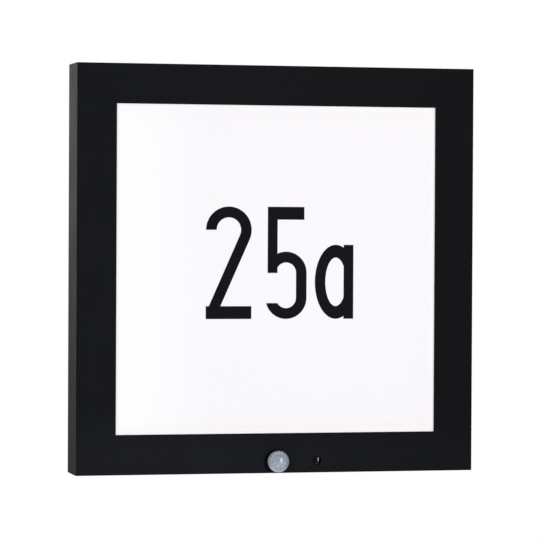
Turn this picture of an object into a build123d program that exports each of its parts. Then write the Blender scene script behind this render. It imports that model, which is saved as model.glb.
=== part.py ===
from build123d import *
import os
from math import cos, radians, sin, sqrt

# Illuminated house number sign for an outside wall, 280 mm square.
# +X is to the right as seen from the street, +Y points into the wall, +Z is up.
# The origin is the middle of the wall screw pattern, on the wall itself (y = 0).
# All sizes are in millimetres. "Depth" is measured backwards from the bezel's front face.

# ---------------------------------------------------------------- driving dimensions

# frame of four mitred profiles
frame_side = 280.0
bezel_width = 27.4
bezel_thickness = 2.0
side_wall = 2.0
front_edge_radius = 0.8
opening_edge_radius = 0.4
mitre_gap = 0.06
rib_thickness = 1.5
rib_reach = 9.0
key_channel = 8.0

# light panel, front to back
bezel_gasket_thickness = 0.8
bezel_gasket_width = 8.0
bezel_gasket_setback = 2.0
diffuser_thickness = 2.5
guide_thickness = 4.0
reflector_thickness = 0.4
tray_thickness = 1.2
tray_inset = 14.3
tray_lip_gap = 1.0
panel_fit = 0.4
strip_thickness = 1.0
led_size = 3.5
led_width = 2.8
led_height = 1.4
led_gap = 0.4
led_pitch = 9.8
strip_end_margin = 6.8

# housing depth behind the light panel
electronics_space = 14.9
pan_thickness = 1.5
pan_recess = 5.7
pan_fit = 0.4
back_gasket_thickness = 0.8
wall_gap = 1.0

# fasteners
screw_fit = 0.15
m3_radius = 1.5
m3_head_radius = 2.75
m3_head_height = 1.8
m3_flat_head_radius = 2.8
m2_radius = 1.0
m2_head_radius = 1.9
m2_head_height = 1.3
m4_radius = 2.0
m4_head_radius = 3.6
m4_head_height = 2.4
driver_slot_width = 0.8
driver_slot_depth = 0.7
back_screw_spread = 88.0
back_screw_length = 8.0

# corner keys and panel retainers
key_leg = 32.0
key_fit = 0.2
key_screw_inset = 26.0
key_screw_length = 6.0
retainer_spread = 70.0
retainer_width = 14.0
retainer_thickness = 1.2
retainer_overlap = 6.0
retainer_screw_length = 5.0

# mains terminal compartment
service_width = 60.0
service_height = 34.0
cover_margin = 8.0
cover_thickness = 1.5
cover_gasket_thickness = 0.8
cover_screw_inset = 4.0
cover_screw_length = 5.0
grommet_x = -18.0
grommet_bore = 4.0
grommet_neck = 6.9
grommet_flange = 9.0
grommet_flange_thickness = 1.5
terminal_x = 12.0
terminal_pole_pitch = 10.0
terminal_poles = 3
terminal_depth = 20.0
terminal_height = 12.0
terminal_tube = 4.6
terminal_wire_bore = 1.6
terminal_screw_radius = 1.3
earth_x = -44.0
earth_z = 20.0
earth_tab_width = 9.0
earth_tab_length = 18.0
earth_tab_thickness = 0.8

# power supply
driver_z = 60.0
driver_length = 104.0
driver_width = 38.0
driver_air_gap = 2.9
driver_base_thickness = 2.0
driver_lug = 8.0
driver_wall = 1.5
driver_board_thickness = 1.6
driver_board_lift = 2.2
board_post_length = 4.0
board_post_width = 8.0
transformer_length = 18.0
transformer_width = 16.0
capacitor_length = 15.0
choke_length = 10.0
choke_width = 14.0
choke_drop = 2.0

# motion control board and its two trimmers
control_z = -62.0
control_width = 64.0
control_height = 34.0
control_board_thickness = 1.6
control_standoff = 4.2
control_standoff_radius = 2.5
control_screw_inset = 4.0
trimmer_spread = 16.0
trimmer_side = 10.0
trimmer_gap = 0.4
knob_radius = 3.0
knob_proud = 0.6
knob_clearance = 0.3
knob_air = 0.1
knob_slot = 1.0
spindle_radius = 1.0
spindle_length = 1.6
spindle_fit = 0.06

# sensors in the bottom profile
sensor_height = 8.3
dusk_x = 28.5
dusk_hole = 3.0
dusk_radius = 2.5
dusk_flange = 0.3
dusk_recess = 0.6
holder_left = -24.0
holder_right = 40.0
holder_fit = 0.2
holder_face = 4.0
holder_end_wall = 2.4
holder_edge_wall = 1.1
holder_top_gap = 0.4
sensor_board_thickness = 1.6
board_fit = 0.2
pir_can_radius = 4.6
pir_can_height = 4.2
pir_can_flange = 0.5
pir_clearance = 0.2
pir_window = 3.2
collar_radius = 8.1
collar_thickness = 1.3
collar_neck = 5.6
collar_neck_length = 0.7
collar_edge_radius = 0.5
lens_radius = 7.5
lens_centre_proud = 4.2
lens_wall = 0.9
lens_spigot = 0.7
lens_spigot_wall = 0.9

# wall bracket and hanging rail, folded from sheet
sheet_bend_radius = 0.4
bracket_half_width = 60.0
bracket_thickness = 1.5
bracket_window_width = 76.0
bracket_window_height = 64.0
bracket_window_radius = 6.0
wall_screw_spacing_x = 80.0
wall_screw_spacing_z = 120.0
wall_slot_length = 12.0
wall_slot_width = 5.0
hook_inset = 50.0
hook_flange = 12.0
hook_gap = 0.5
rail_half_width = 65.0
rail_thickness = 1.2
rail_lip = 7.0
rail_leg = 16.0
rail_wall_air = 1.2
rivet_radius = 1.6
rivet_head_radius = 3.2
rivet_head_height = 1.0
rivet_spread = 50.0
foot_x = 40.0
foot_half_width = 12.0
foot_above_floor = 14.5
foot_drop = 13.5
foot_reach = 6.3
securing_screw_y = -3.8
securing_screw_fit = 0.3
securing_screw_past_foot = 2.0

# house number, cut from self-adhesive film
film_thickness = 0.25
number_base = -34.0
number_height = 77.1
small_letter_height = 51.1
stem_stroke = 6.9
curve_stroke = 7.4
bar_stroke = 8.8
first_digit_left = -50.0
first_digit_width = 32.0
second_digit_left = -8.0
second_digit_width = 29.0
letter_left = 27.0
letter_width = 27.4
two_neck_angle = 24.0

# inner leads
lead_radius = 1.0
led_lead_radius = 0.7
lead_bend_share = 0.45

# ---------------------------------------------------------------- derived places

half = frame_side / 2
opening = half - bezel_width

gasket_back = bezel_thickness + bezel_gasket_thickness
diffuser_back = gasket_back + diffuser_thickness
guide_back = diffuser_back + guide_thickness
reflector_back = guide_back + reflector_thickness
tray_back = reflector_back + tray_thickness
pan_front = tray_back + electronics_space
pan_back = pan_front + pan_thickness
frame_depth = pan_back + pan_recess
key_rib_back = pan_front - back_gasket_thickness
key_rib_front = key_rib_back - rib_thickness
panel_rib_back = key_rib_front - key_channel
panel_rib_front = panel_rib_back - rib_thickness

front_y = -(wall_gap + frame_depth)
rib_tip = side_wall + rib_reach
screw_line = side_wall + rib_reach / 2
tray_outer = half - tray_inset
tray_inner = tray_outer - tray_thickness
panel_half = tray_inner - panel_fit
guide_half_width = tray_inner - strip_thickness - led_height - led_gap

cover_front = pan_back + cover_gasket_thickness
cover_back = cover_front + cover_thickness
cover_width = service_width + 2 * cover_margin
cover_height = service_height + 2 * cover_margin
terminal_back = tray_back + terminal_height

driver_base_front = pan_front - driver_base_thickness
driver_front = tray_back + driver_air_gap
control_back = pan_front - control_standoff
control_front = control_back - control_board_thickness
trimmer_back = pan_front - trimmer_gap
knob_front = trimmer_back + knob_air
knob_back = pan_back + knob_proud

sensor_z = sensor_height - half
holder_front = bezel_thickness
sensor_board_front = holder_front + holder_face
sensor_board_back = sensor_board_front + sensor_board_thickness
holder_low = side_wall + holder_fit
holder_high = tray_inset - holder_top_gap

foot_top = side_wall - half + foot_above_floor + bracket_thickness
foot_bottom = foot_top - bracket_thickness
bracket_bottom = foot_bottom + foot_drop
hook_height = half - hook_inset


def at_depth(depth):
    return front_y + depth


def slab(x, depth, z):
    """A block from three (low, high) pairs, the middle one in depth behind the front face."""
    centre = Pos((x[0] + x[1]) / 2, at_depth((depth[0] + depth[1]) / 2), (z[0] + z[1]) / 2)
    return centre * Box(x[1] - x[0], depth[1] - depth[0], z[1] - z[0])


def centred_slab(x, z, width, height, depth):
    return slab((x - width / 2, x + width / 2), depth, (z - height / 2, z + height / 2))


def rod(x, z, depth, radius):
    """A round bar along the depth."""
    length = depth[1] - depth[0]
    return Pos(x, at_depth(sum(depth) / 2), z) * Cylinder(radius, length, rotation=(90, 0, 0))


def ring_slab(outer_width, outer_height, inner_width, inner_height, depth):
    outer = centred_slab(0, 0, outer_width, outer_height, depth)
    return outer - centred_slab(0, 0, inner_width, inner_height, (depth[0] - 1, depth[1] + 1))


def all_sides(piece):
    """One copy of a bottom-side piece for each side of the square frame."""
    return [Rot(0, 90 * turn, 0) * piece for turn in range(4)]


def edges_at(piece, corners):
    """The edges along X that pass through the given (y, z) corners."""
    near = 0.01
    return [
        edge
        for edge in piece.edges().filter_by(Axis.X)
        for y, z in corners
        if abs(edge.center().Y - y) < near and abs(edge.center().Z - z) < near
    ]


def round_bends(sheet, outside, inside, thickness):
    """Round the folds of a bent sheet, given the (y, z) corners outside and inside them."""
    sheet = fillet(edges_at(sheet, outside), sheet_bend_radius + thickness)
    return fillet(edges_at(sheet, inside), sheet_bend_radius)


def pan_head_screw(radius, length, head_radius, head_height):
    """Slotted pan-head screw along Z: the seat of the head is at z = 0, the shank below it."""
    head = Pos(0, 0, head_height / 2) * Cylinder(head_radius, head_height)
    head = fillet(head.edges().group_by(Axis.Z)[-1], head_height * 0.4)
    shank = Pos(0, 0, -length / 2) * Cylinder(radius, length)
    slot_bottom = head_height - driver_slot_depth
    slot = Pos(0, 0, slot_bottom + head_height / 2)
    return head + shank - slot * Box(3 * head_radius, driver_slot_width, head_height)


def flat_head_screw(radius, length, head_radius, fit=0.0):
    """Countersunk screw along Z with its head's face at z = 0. With a fit it is the hole's shape."""
    head_height = head_radius - radius
    head = Pos(0, 0, -head_height / 2) * Cone(radius + fit, head_radius + fit, head_height)
    shank = Pos(0, 0, -length / 2) * Cylinder(radius + fit, length)
    screw = head + shank
    if fit == 0.0:
        slot = Pos(0, 0, -driver_slot_depth / 2)
        screw -= slot * Box(3 * head_radius, driver_slot_width, driver_slot_depth)
    return screw


def facing_back(x, depth, z, screw):
    """Place a screw with its head towards the wall and its seat at the given depth."""
    return Pos(x, at_depth(depth), z) * Rot(-90, 0, 0) * screw


def facing_front(x, depth, z, screw):
    return Pos(x, at_depth(depth), z) * Rot(90, 0, 0) * screw


def save(node, *pieces):
    solids = [solid for piece in pieces for solid in piece.solids()]
    shape = solids[0] if len(solids) == 1 else Compound(solids)
    export_step(shape, f"parts/{node}.step")


os.makedirs("parts", exist_ok=True)

# ---------------------------------------------------------------- frame


def frame_section():
    """The profile's cross-section: x is the depth, y the distance inwards from the outer face."""
    outline = Polyline(
        (0, 0),
        (0, bezel_width),
        (bezel_thickness, bezel_width),
        (bezel_thickness, side_wall),
        (panel_rib_front, side_wall),
        (panel_rib_front, rib_tip),
        (panel_rib_back, rib_tip),
        (panel_rib_back, side_wall),
        (key_rib_front, side_wall),
        (key_rib_front, rib_tip),
        (key_rib_back, rib_tip),
        (key_rib_back, side_wall),
        (frame_depth, side_wall),
        (frame_depth, 0),
        close=True,
    )
    section = make_face(outline)
    outer_corner = section.vertices().sort_by_distance((0, 0, 0))[0]
    section = fillet(outer_corner, front_edge_radius)
    opening_corner = section.vertices().sort_by_distance((0, bezel_width, 0))[0]
    return fillet(opening_corner, opening_edge_radius)


def mitre_wedge():
    corner = half - mitre_gap
    triangle = Plane.XZ * Polygon((-corner, -half), (corner, -half), (0, -mitre_gap), align=None)
    return extrude(triangle, amount=frame_side, both=True)


section_plane = Plane((0, front_y, -half), x_dir=(0, 1, 0), z_dir=(1, 0, 0))
plain_profile = extrude(section_plane * frame_section(), amount=half, both=True) & mitre_wedge()

screw_z = screw_line - half
back_screw_places = [-back_screw_spread, 0.0, back_screw_spread]
retainer_places = [-retainer_spread, retainer_spread]
key_screw_places = [key_screw_inset - half, half - key_screw_inset]

for place in back_screw_places:
    plain_profile -= rod(place, screw_z, (key_rib_front - 1, key_rib_back + 1), m3_radius + screw_fit)
for place in retainer_places:
    plain_profile -= rod(place, screw_z, (panel_rib_front - 1, panel_rib_back + 1), m3_radius + screw_fit)
key_screw_hole = flat_head_screw(m3_radius, key_screw_length, m3_flat_head_radius, fit=screw_fit)
for place in key_screw_places:
    plain_profile -= facing_back(place, key_rib_back, screw_z, key_screw_hole)

bottom_profile, left_profile, top_profile, right_profile = all_sides(plain_profile)

securing_length = half + foot_top + securing_screw_past_foot
securing_hole = flat_head_screw(m3_radius, securing_length, m3_flat_head_radius, fit=securing_screw_fit)
securing_places = [-foot_x, foot_x]

bottom_profile -= rod(0, sensor_z, (-1, bezel_thickness + 1), collar_neck + screw_fit)
bottom_profile -= rod(dusk_x, sensor_z, (-1, bezel_thickness + 1), dusk_hole)
for place in securing_places:
    bottom_profile -= Pos(place, securing_screw_y, -half) * Rot(180, 0, 0) * securing_hole

save("frame_bottom_profile", bottom_profile)
save("frame_left_profile", left_profile)
save("frame_top_profile", top_profile)
save("frame_right_profile", right_profile)

# ---------------------------------------------------------------- corner keys

key_width = rib_reach - 2 * key_fit
key_outer = half - side_wall - key_fit
key_depth = (panel_rib_back + key_fit, key_rib_front - key_fit)
key = slab((key_outer - key_leg, key_outer), key_depth, (-key_outer, key_width - key_outer))
key += slab((key_outer - key_width, key_outer), key_depth, (-key_outer, key_leg - key_outer))
key_screw_spot = half - key_screw_inset
for x, z in ((key_screw_spot, screw_z), (-screw_z, -key_screw_spot)):
    key -= rod(x, z, (key_depth[0] - 1, key_depth[1] + 1), m3_radius + screw_fit)
save("corner_keys", *all_sides(key))

key_screw = flat_head_screw(m3_radius, key_screw_length, m3_flat_head_radius)
key_screws = [facing_back(place, key_rib_back, screw_z, key_screw) for place in key_screw_places]
save("corner_key_screws", *[copy for screw in key_screws for copy in all_sides(screw)])

# ---------------------------------------------------------------- light panel

gasket_inner = 2 * (opening + bezel_gasket_setback)
gasket_outer = gasket_inner + 2 * bezel_gasket_width
bezel_gasket_depth = (bezel_thickness, gasket_back)
save("bezel_gasket", ring_slab(gasket_outer, gasket_outer, gasket_inner, gasket_inner, bezel_gasket_depth))

save("diffuser", centred_slab(0, 0, 2 * panel_half, 2 * panel_half, (gasket_back, diffuser_back)))
guide_width = 2 * guide_half_width
save("light_guide", centred_slab(0, 0, guide_width, 2 * panel_half, (diffuser_back, guide_back)))
save("reflector_sheet", centred_slab(0, 0, guide_width, 2 * panel_half, (guide_back, reflector_back)))

strip_half = tray_inner - strip_end_margin
led_lead_x = tray_inner - led_lead_radius
led_lead_z = strip_half + led_lead_radius
tray_front = bezel_thickness + tray_lip_gap
tray = centred_slab(0, 0, 2 * tray_outer, 2 * tray_outer, (tray_front, tray_back))
tray -= centred_slab(0, 0, 2 * tray_inner, 2 * tray_inner, (tray_front - 1, reflector_back))
through_tray = (reflector_back - 1, tray_back + 1)
for side in (-1, 1):
    tray -= rod(side * led_lead_x, led_lead_z, through_tray, led_lead_radius + screw_fit)

terminal_length = terminal_poles * terminal_pole_pitch
terminal_fix_places = [terminal_x - terminal_pole_pitch / 2, terminal_x + terminal_pole_pitch / 2]
for place in terminal_fix_places:
    tray -= rod(place, 0, through_tray, m2_radius + screw_fit)
save("panel_tray", tray)

leds_each_side = int((2 * strip_half - led_size) / led_pitch) + 1
first_led = -(leds_each_side - 1) * led_pitch / 2
led_depth_middle = (diffuser_back + guide_back) / 2
for name, side in (("left", -1), ("right", 1)):
    wall_face = side * tray_inner
    board_face = side * (tray_inner - strip_thickness)
    led_face = side * (tray_inner - strip_thickness - led_height)
    board_x = (min(wall_face, board_face), max(wall_face, board_face))
    led_x = (min(board_face, led_face), max(board_face, led_face))
    led_depth = (led_depth_middle - led_width / 2, led_depth_middle + led_width / 2)
    save(f"led_strip_{name}", slab(board_x, (diffuser_back, guide_back), (-strip_half, strip_half)))
    leds = []
    for number in range(leds_each_side):
        middle = first_led + number * led_pitch
        leds.append(slab(led_x, led_depth, (middle - led_size / 2, middle + led_size / 2)))
    save(f"leds_{name}", *leds)

# ---------------------------------------------------------------- panel retainers

retainer_base_z = (side_wall + key_fit - half, rib_tip + key_fit + retainer_thickness - half)
retainer_foot_z = (rib_tip + key_fit - half, tray_inset + retainer_overlap - half)
retainer_web_z = (retainer_foot_z[0], retainer_foot_z[0] + retainer_thickness)
retainer_screw = pan_head_screw(m3_radius, retainer_screw_length, m3_head_radius, m3_head_height)
retainers = []
retainer_screws = []
for place in retainer_places:
    width = (place - retainer_width / 2, place + retainer_width / 2)
    base_depth = (panel_rib_back, panel_rib_back + retainer_thickness)
    clip = slab(width, base_depth, retainer_base_z)
    clip += slab(width, (tray_back, base_depth[1]), retainer_web_z)
    clip += slab(width, (tray_back, tray_back + retainer_thickness), retainer_foot_z)
    clip -= rod(place, screw_z, (base_depth[0] - 1, base_depth[1] + 1), m3_radius + screw_fit)
    retainers += all_sides(clip)
    retainer_screws += all_sides(facing_back(place, base_depth[1], screw_z, retainer_screw))
save("panel_retainers", *retainers)
save("panel_retainer_screws", *retainer_screws)

# ---------------------------------------------------------------- back pan

pan_half = half - side_wall - pan_fit
back_gasket_inner = half - rib_tip
gasket_hole = 2 * back_gasket_inner
back_gasket = ring_slab(2 * pan_half, 2 * pan_half, gasket_hole, gasket_hole, (key_rib_back, pan_front))
pan = centred_slab(0, 0, 2 * pan_half, 2 * pan_half, (pan_front, pan_back))
back_screws = []
back_screw = pan_head_screw(m3_radius, back_screw_length, m3_head_radius, m3_head_height)
for place in back_screw_places:
    for hole in all_sides(rod(place, screw_z, (key_rib_back - 1, pan_back + 1), m3_radius + screw_fit)):
        back_gasket -= hole
        pan -= hole
    back_screws += all_sides(facing_back(place, pan_back, screw_z, back_screw))
save("back_gasket", back_gasket)
save("back_pan_screws", *back_screws)

pan -= centred_slab(0, 0, service_width, service_height, (pan_front - 1, pan_back + 1))

cover_screw_x = cover_width / 2 - cover_screw_inset
cover_screw_z = cover_height / 2 - cover_screw_inset
cover_screw_rows = (-cover_screw_z, cover_screw_z)
cover_screw_places = [(x, z) for x in (-cover_screw_x, cover_screw_x) for z in cover_screw_rows]
driver_screw_x = driver_length / 2 + driver_lug / 2
driver_screw_places = [(-driver_screw_x, driver_z), (driver_screw_x, driver_z)]
rail_screw_z = hook_height + rail_leg / 2 + rail_thickness / 2
rivet_places = [(place, rail_screw_z) for place in (-rivet_spread, 0.0, rivet_spread)]
control_screw_x = control_width / 2 - control_screw_inset
control_screw_z = control_height / 2 - control_screw_inset
control_screw_rows = (control_z - control_screw_z, control_z + control_screw_z)
control_screw_places = [(x, z) for x in (-control_screw_x, control_screw_x) for z in control_screw_rows]
trimmer_places = {"time": -trimmer_spread, "light": trimmer_spread}

through_pan = (pan_front - 1, pan_back + 1)
for x, z in cover_screw_places + driver_screw_places:
    pan -= rod(x, z, through_pan, m3_radius + screw_fit)
for x, z in rivet_places:
    pan -= rod(x, z, through_pan, rivet_radius + screw_fit)
for x, z in control_screw_places:
    pan -= rod(x, z, through_pan, m2_radius + screw_fit)
for x in trimmer_places.values():
    pan -= rod(x, control_z, through_pan, knob_radius + knob_clearance)
pan -= rod(earth_x, earth_z, through_pan, m4_radius + screw_fit)
save("back_pan", pan)

# ---------------------------------------------------------------- terminal compartment

cover_gasket = ring_slab(cover_width, cover_height, service_width, service_height, (pan_back, cover_front))
cover = centred_slab(0, 0, cover_width, cover_height, (cover_front, cover_back))
cover = fillet(cover.edges().filter_by(Axis.Y), cover_screw_inset / 2)
cover_screw = pan_head_screw(m3_radius, cover_screw_length, m3_head_radius, m3_head_height)
cover_screws = []
for x, z in cover_screw_places:
    hole = rod(x, z, (pan_back - 1, cover_back + 1), m3_radius + screw_fit)
    cover_gasket -= hole
    cover -= hole
    cover_screws.append(facing_back(x, cover_back, z, cover_screw))
cover -= rod(grommet_x, 0, (cover_front - 1, cover_back + 1), grommet_neck + screw_fit)
save("terminal_cover_gasket", cover_gasket)
save("terminal_cover", cover)
save("terminal_cover_screws", *cover_screws)

grommet_depth = (cover_front - grommet_flange_thickness, cover_back + grommet_flange_thickness)
grommet = rod(grommet_x, 0, (grommet_depth[0], cover_front), grommet_flange)
grommet += rod(grommet_x, 0, (cover_front, cover_back), grommet_neck)
grommet += rod(grommet_x, 0, (cover_back, grommet_depth[1]), grommet_flange)
grommet -= rod(grommet_x, 0, (grommet_depth[0] - 1, grommet_depth[1] + 1), grommet_bore)
save("cable_grommet", grommet)

terminal_middle = (tray_back + terminal_back) / 2
block = centred_slab(terminal_x, 0, terminal_length, terminal_depth, (tray_back, terminal_back))
clamps = []
clamp_screws = []
clamp_screw_length = terminal_back - terminal_middle - terminal_wire_bore
clamp_shank = terminal_screw_radius - screw_fit
clamp_screw = pan_head_screw(clamp_shank, clamp_screw_length, terminal_screw_radius, m2_head_height)
for number in range(terminal_poles):
    pole_x = terminal_x + (number - (terminal_poles - 1) / 2) * terminal_pole_pitch
    tube_depth = (terminal_middle - terminal_tube / 2, terminal_middle + terminal_tube / 2)
    tube = centred_slab(pole_x, 0, terminal_tube, terminal_depth - 2, tube_depth)
    pocket_depth = (tube_depth[0] - screw_fit, tube_depth[1] + screw_fit)
    block -= centred_slab(pole_x, 0, terminal_tube + 2 * screw_fit, terminal_depth + 2, pocket_depth)
    wire_hole = Pos(pole_x, at_depth(terminal_middle), 0) * Cylinder(terminal_wire_bore, terminal_depth + 2)
    tube -= wire_hole
    for screw_side in (-1, 1):
        spot = screw_side * terminal_depth / 4
        shaft = rod(pole_x, spot, (terminal_middle, terminal_back + 1), terminal_screw_radius + screw_fit)
        block -= shaft
        tube -= shaft
        seat = terminal_back - m2_head_height
        clamp_screws.append(facing_back(pole_x, seat, spot, clamp_screw))
    clamps.append(tube)
fix_seat = terminal_back - m2_head_height
fix_length = fix_seat - reflector_back - key_fit
terminal_fix = pan_head_screw(m2_radius, fix_length, m2_head_radius, m2_head_height)
fix_screws = []
for place in terminal_fix_places:
    block -= rod(place, 0, (tray_back - 1, terminal_back + 1), m2_radius + screw_fit)
    block -= rod(place, 0, (fix_seat, terminal_back + 1), m2_head_radius + screw_fit)
    fix_screws.append(facing_back(place, fix_seat, 0, terminal_fix))
save("terminal_block", block)
save("terminal_clamps", *clamps)
save("terminal_clamp_screws", *clamp_screws)
save("terminal_fixing_screws", *fix_screws)

tab_depth = (pan_front - earth_tab_thickness, pan_front)
tab_z = earth_z + earth_tab_length / 2 - earth_tab_width / 2
earth_tab = centred_slab(earth_x, tab_z, earth_tab_width, earth_tab_length, tab_depth)
earth_tab -= rod(earth_x, earth_z, (tab_depth[0] - 1, tab_depth[1] + 1), m4_radius + screw_fit)
earth_screw = pan_head_screw(m4_radius, earth_tab_thickness + pan_thickness, m4_head_radius, m4_head_height)
save("earth_tab", earth_tab)
save("earth_screw", facing_front(earth_x, tab_depth[0], earth_z, earth_screw))

# ---------------------------------------------------------------- power supply

base_length = driver_length + 2 * driver_lug
driver_base = centred_slab(0, driver_z, base_length, driver_width, (driver_base_front, pan_front))
driver_cover = centred_slab(0, driver_z, driver_length, driver_width, (driver_front, driver_base_front))
driver_cover = fillet(driver_cover.edges().filter_by(Axis.Y), driver_wall)
driver_cavity = (driver_front + driver_wall, driver_base_front + 1)
inside_length = driver_length - 2 * driver_wall
inside_width = driver_width - 2 * driver_wall
driver_cover -= centred_slab(0, driver_z, inside_length, inside_width, driver_cavity)

driver_board_back = driver_base_front - driver_board_lift
driver_board_front = driver_board_back - driver_board_thickness
board_length = inside_length - 2 * panel_fit
board_width = inside_width - 2 * panel_fit
driver_board = centred_slab(0, driver_z, board_length, board_width, (driver_board_front, driver_board_back))
board_post_x = board_length / 2 - board_post_length
for x in (-board_post_x, board_post_x):
    post_depth = (driver_board_back, driver_base_front)
    driver_base += centred_slab(x, driver_z, board_post_length, board_post_width, post_depth)

part_front = driver_cavity[0] + panel_fit
capacitor_radius = (driver_board_front - part_front) / 2
capacitor_middle = at_depth((driver_board_front + part_front) / 2)
part_depth = (part_front, driver_board_front)
transformer = centred_slab(-board_length / 8, driver_z, transformer_length, transformer_width, part_depth)
transformer = fillet(transformer.edges().filter_by(Axis.Y), transformer_width / 10)
components = [transformer]
for x in (-board_length / 3, board_length / 4):
    capacitor = Pos(x, capacitor_middle, driver_z) * Cylinder(capacitor_radius, capacitor_length)
    components.append(capacitor)
choke_x = board_length / 2 - 1.4 * choke_length
choke_depth = (part_front + choke_drop, driver_board_front)
components.append(centred_slab(choke_x, driver_z, choke_length, choke_width, choke_depth))

driver_screw_length = driver_base_thickness + pan_thickness
driver_screw = pan_head_screw(m3_radius, driver_screw_length, m3_head_radius, m3_head_height)
driver_screws = []
for x, z in driver_screw_places:
    driver_base -= rod(x, z, (driver_base_front - 1, pan_front + 1), m3_radius + screw_fit)
    driver_screws.append(facing_front(x, driver_base_front, z, driver_screw))

# ---------------------------------------------------------------- control board and trimmers

control_depth = (control_front, control_back)
control_board = centred_slab(0, control_z, control_width, control_height, control_depth)
standoffs = []
control_screws = []
control_screw = pan_head_screw(m2_radius, pan_back - control_front, m2_head_radius, m2_head_height)
for x, z in control_screw_places:
    control_board -= rod(x, z, (control_front - 1, control_back + 1), m2_radius + screw_fit)
    post = rod(x, z, (control_back, pan_front), control_standoff_radius)
    standoffs.append(post - rod(x, z, (control_back - 1, pan_front + 1), m2_radius + screw_fit))
    control_screws.append(facing_front(x, control_front, z, control_screw))
save("control_board", control_board)
save("control_standoffs", *standoffs)
save("control_screws", *control_screws)

trimmer_bodies = []
spindle_bore_depth = (trimmer_back - spindle_length - spindle_fit, trimmer_back + 1)
for name, x in trimmer_places.items():
    body = centred_slab(x, control_z, trimmer_side, trimmer_side, (control_back, trimmer_back))
    trimmer_bodies.append(body - rod(x, control_z, spindle_bore_depth, spindle_radius + spindle_fit))
    knob = rod(x, control_z, (knob_front, knob_back), knob_radius)
    knob = chamfer(knob.edges().group_by(Axis.Y)[-1], 0.3)
    knob += rod(x, control_z, (trimmer_back - spindle_length, knob_front), spindle_radius)
    slot_depth = (knob_back - knob_slot, knob_back + 1)
    knob -= centred_slab(x, control_z, knob_slot, 1.6 * knob_radius, slot_depth)
    save(f"{name}_trimmer_knob", knob)
save("trimmer_bodies", *trimmer_bodies)

# ---------------------------------------------------------------- sensors

holder_z = (holder_low - half, holder_high - half)
holder_x = (holder_left, holder_right)
holder = slab(holder_x, (holder_front, panel_rib_front), holder_z)
pocket_x = (holder_left + holder_end_wall, holder_right - holder_end_wall)
pocket_z = (holder_z[0] + holder_edge_wall, holder_z[1] - holder_edge_wall)
holder -= slab(pocket_x, (sensor_board_front, panel_rib_front + 1), pocket_z)
holder -= rod(0, sensor_z, (holder_front - 1, sensor_board_front + 1), pir_can_radius + pir_clearance)
neck_seat = holder_front + collar_neck_length + pir_clearance
holder -= rod(0, sensor_z, (holder_front - 1, neck_seat), collar_neck + pir_clearance)
holder -= rod(dusk_x, sensor_z, (holder_front - 1, sensor_board_front + 1), dusk_radius + dusk_flange)

board_x = (pocket_x[0] + board_fit, pocket_x[1] - board_fit)
board_z = (pocket_z[0] + board_fit, pocket_z[1] - board_fit)
sensor_board = slab(board_x, (sensor_board_front, sensor_board_back), board_z)
sensor_screw_places = [(holder_left + dusk_x / 4, sensor_z), (dusk_x / 2, sensor_z)]
sensor_screw_length = sensor_board_thickness + holder_face - holder_edge_wall
sensor_screw = pan_head_screw(m2_radius, sensor_screw_length, m2_head_radius, m2_head_height)
sensor_screws = []
sensor_screw_bore = (holder_front + holder_edge_wall - screw_fit, sensor_board_back + 1)
for x, z in sensor_screw_places:
    hole = rod(x, z, sensor_screw_bore, m2_radius + screw_fit)
    sensor_board -= hole
    holder -= hole
    sensor_screws.append(facing_back(x, sensor_board_back, z, sensor_screw))

window_depth = sensor_board_front - pir_can_height
pir_can = rod(0, sensor_z, (window_depth, sensor_board_front), pir_can_radius - pir_can_flange)
pir_can = fillet(pir_can.edges().group_by(Axis.Y)[0], pir_can_flange)
pir_can += rod(0, sensor_z, (sensor_board_front - pir_can_flange, sensor_board_front), pir_can_radius)
pir_can -= centred_slab(0, sensor_z, pir_window, pir_window, (window_depth - 1, window_depth + 0.2))

dusk_tip = Pos(dusk_x, at_depth(dusk_recess + dusk_radius), sensor_z) * Sphere(dusk_radius)
dusk_sensor = dusk_tip + rod(dusk_x, sensor_z, (dusk_recess + dusk_radius, sensor_board_front), dusk_radius)

neck_end = bezel_thickness + collar_neck_length
collar = rod(0, sensor_z, (-collar_thickness, 0), collar_radius)
collar = fillet(collar.edges().group_by(Axis.Y)[0], collar_edge_radius)
collar += rod(0, sensor_z, (0, neck_end), collar_neck)
collar -= rod(0, sensor_z, (-collar_thickness - 1, neck_end + 1), pir_can_radius + pir_clearance)

lens_seat = -collar_thickness
lens_base_radius = sqrt(lens_radius**2 - (lens_centre_proud - collar_thickness) ** 2)
lens_inner_radius = lens_radius - lens_wall
spigot_inner = lens_base_radius - lens_spigot_wall
inner_proud = sqrt(lens_inner_radius**2 - spigot_inner**2)


def dome_point(radius, angle):
    """A point of the dome's section, as radius from its axis and height towards the street."""
    return (radius * sin(radians(angle)), lens_centre_proud + radius * cos(radians(angle)))


lens_outside = ThreePointArc(
    (lens_base_radius, -lens_seat), dome_point(lens_radius, 60), (0, lens_centre_proud + lens_radius)
)
lens_inside = ThreePointArc(
    (spigot_inner, lens_centre_proud - inner_proud),
    dome_point(lens_inner_radius, 60),
    (0, lens_centre_proud + lens_inner_radius),
)
lens_rim = Polyline(
    (lens_base_radius, -lens_seat),
    (lens_base_radius, -lens_seat - lens_spigot),
    (spigot_inner, -lens_seat - lens_spigot),
    (spigot_inner, lens_centre_proud - inner_proud),
)
lens_tip = Line((0, lens_centre_proud + lens_radius), (0, lens_centre_proud + lens_inner_radius))
lens_section = make_face([lens_outside, lens_inside, lens_rim, lens_tip])
lens_plane = Plane((0, front_y, sensor_z), x_dir=(1, 0, 0), z_dir=(0, 0, -1))
lens_axis = Axis((0, front_y, sensor_z), (0, -1, 0))
lens = revolve(lens_plane * lens_section, axis=lens_axis)
groove_outer = lens_base_radius + screw_fit
groove_inner = lens_base_radius - lens_spigot_wall - screw_fit
groove_depth = (lens_seat - 1, lens_seat + lens_spigot)
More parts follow.
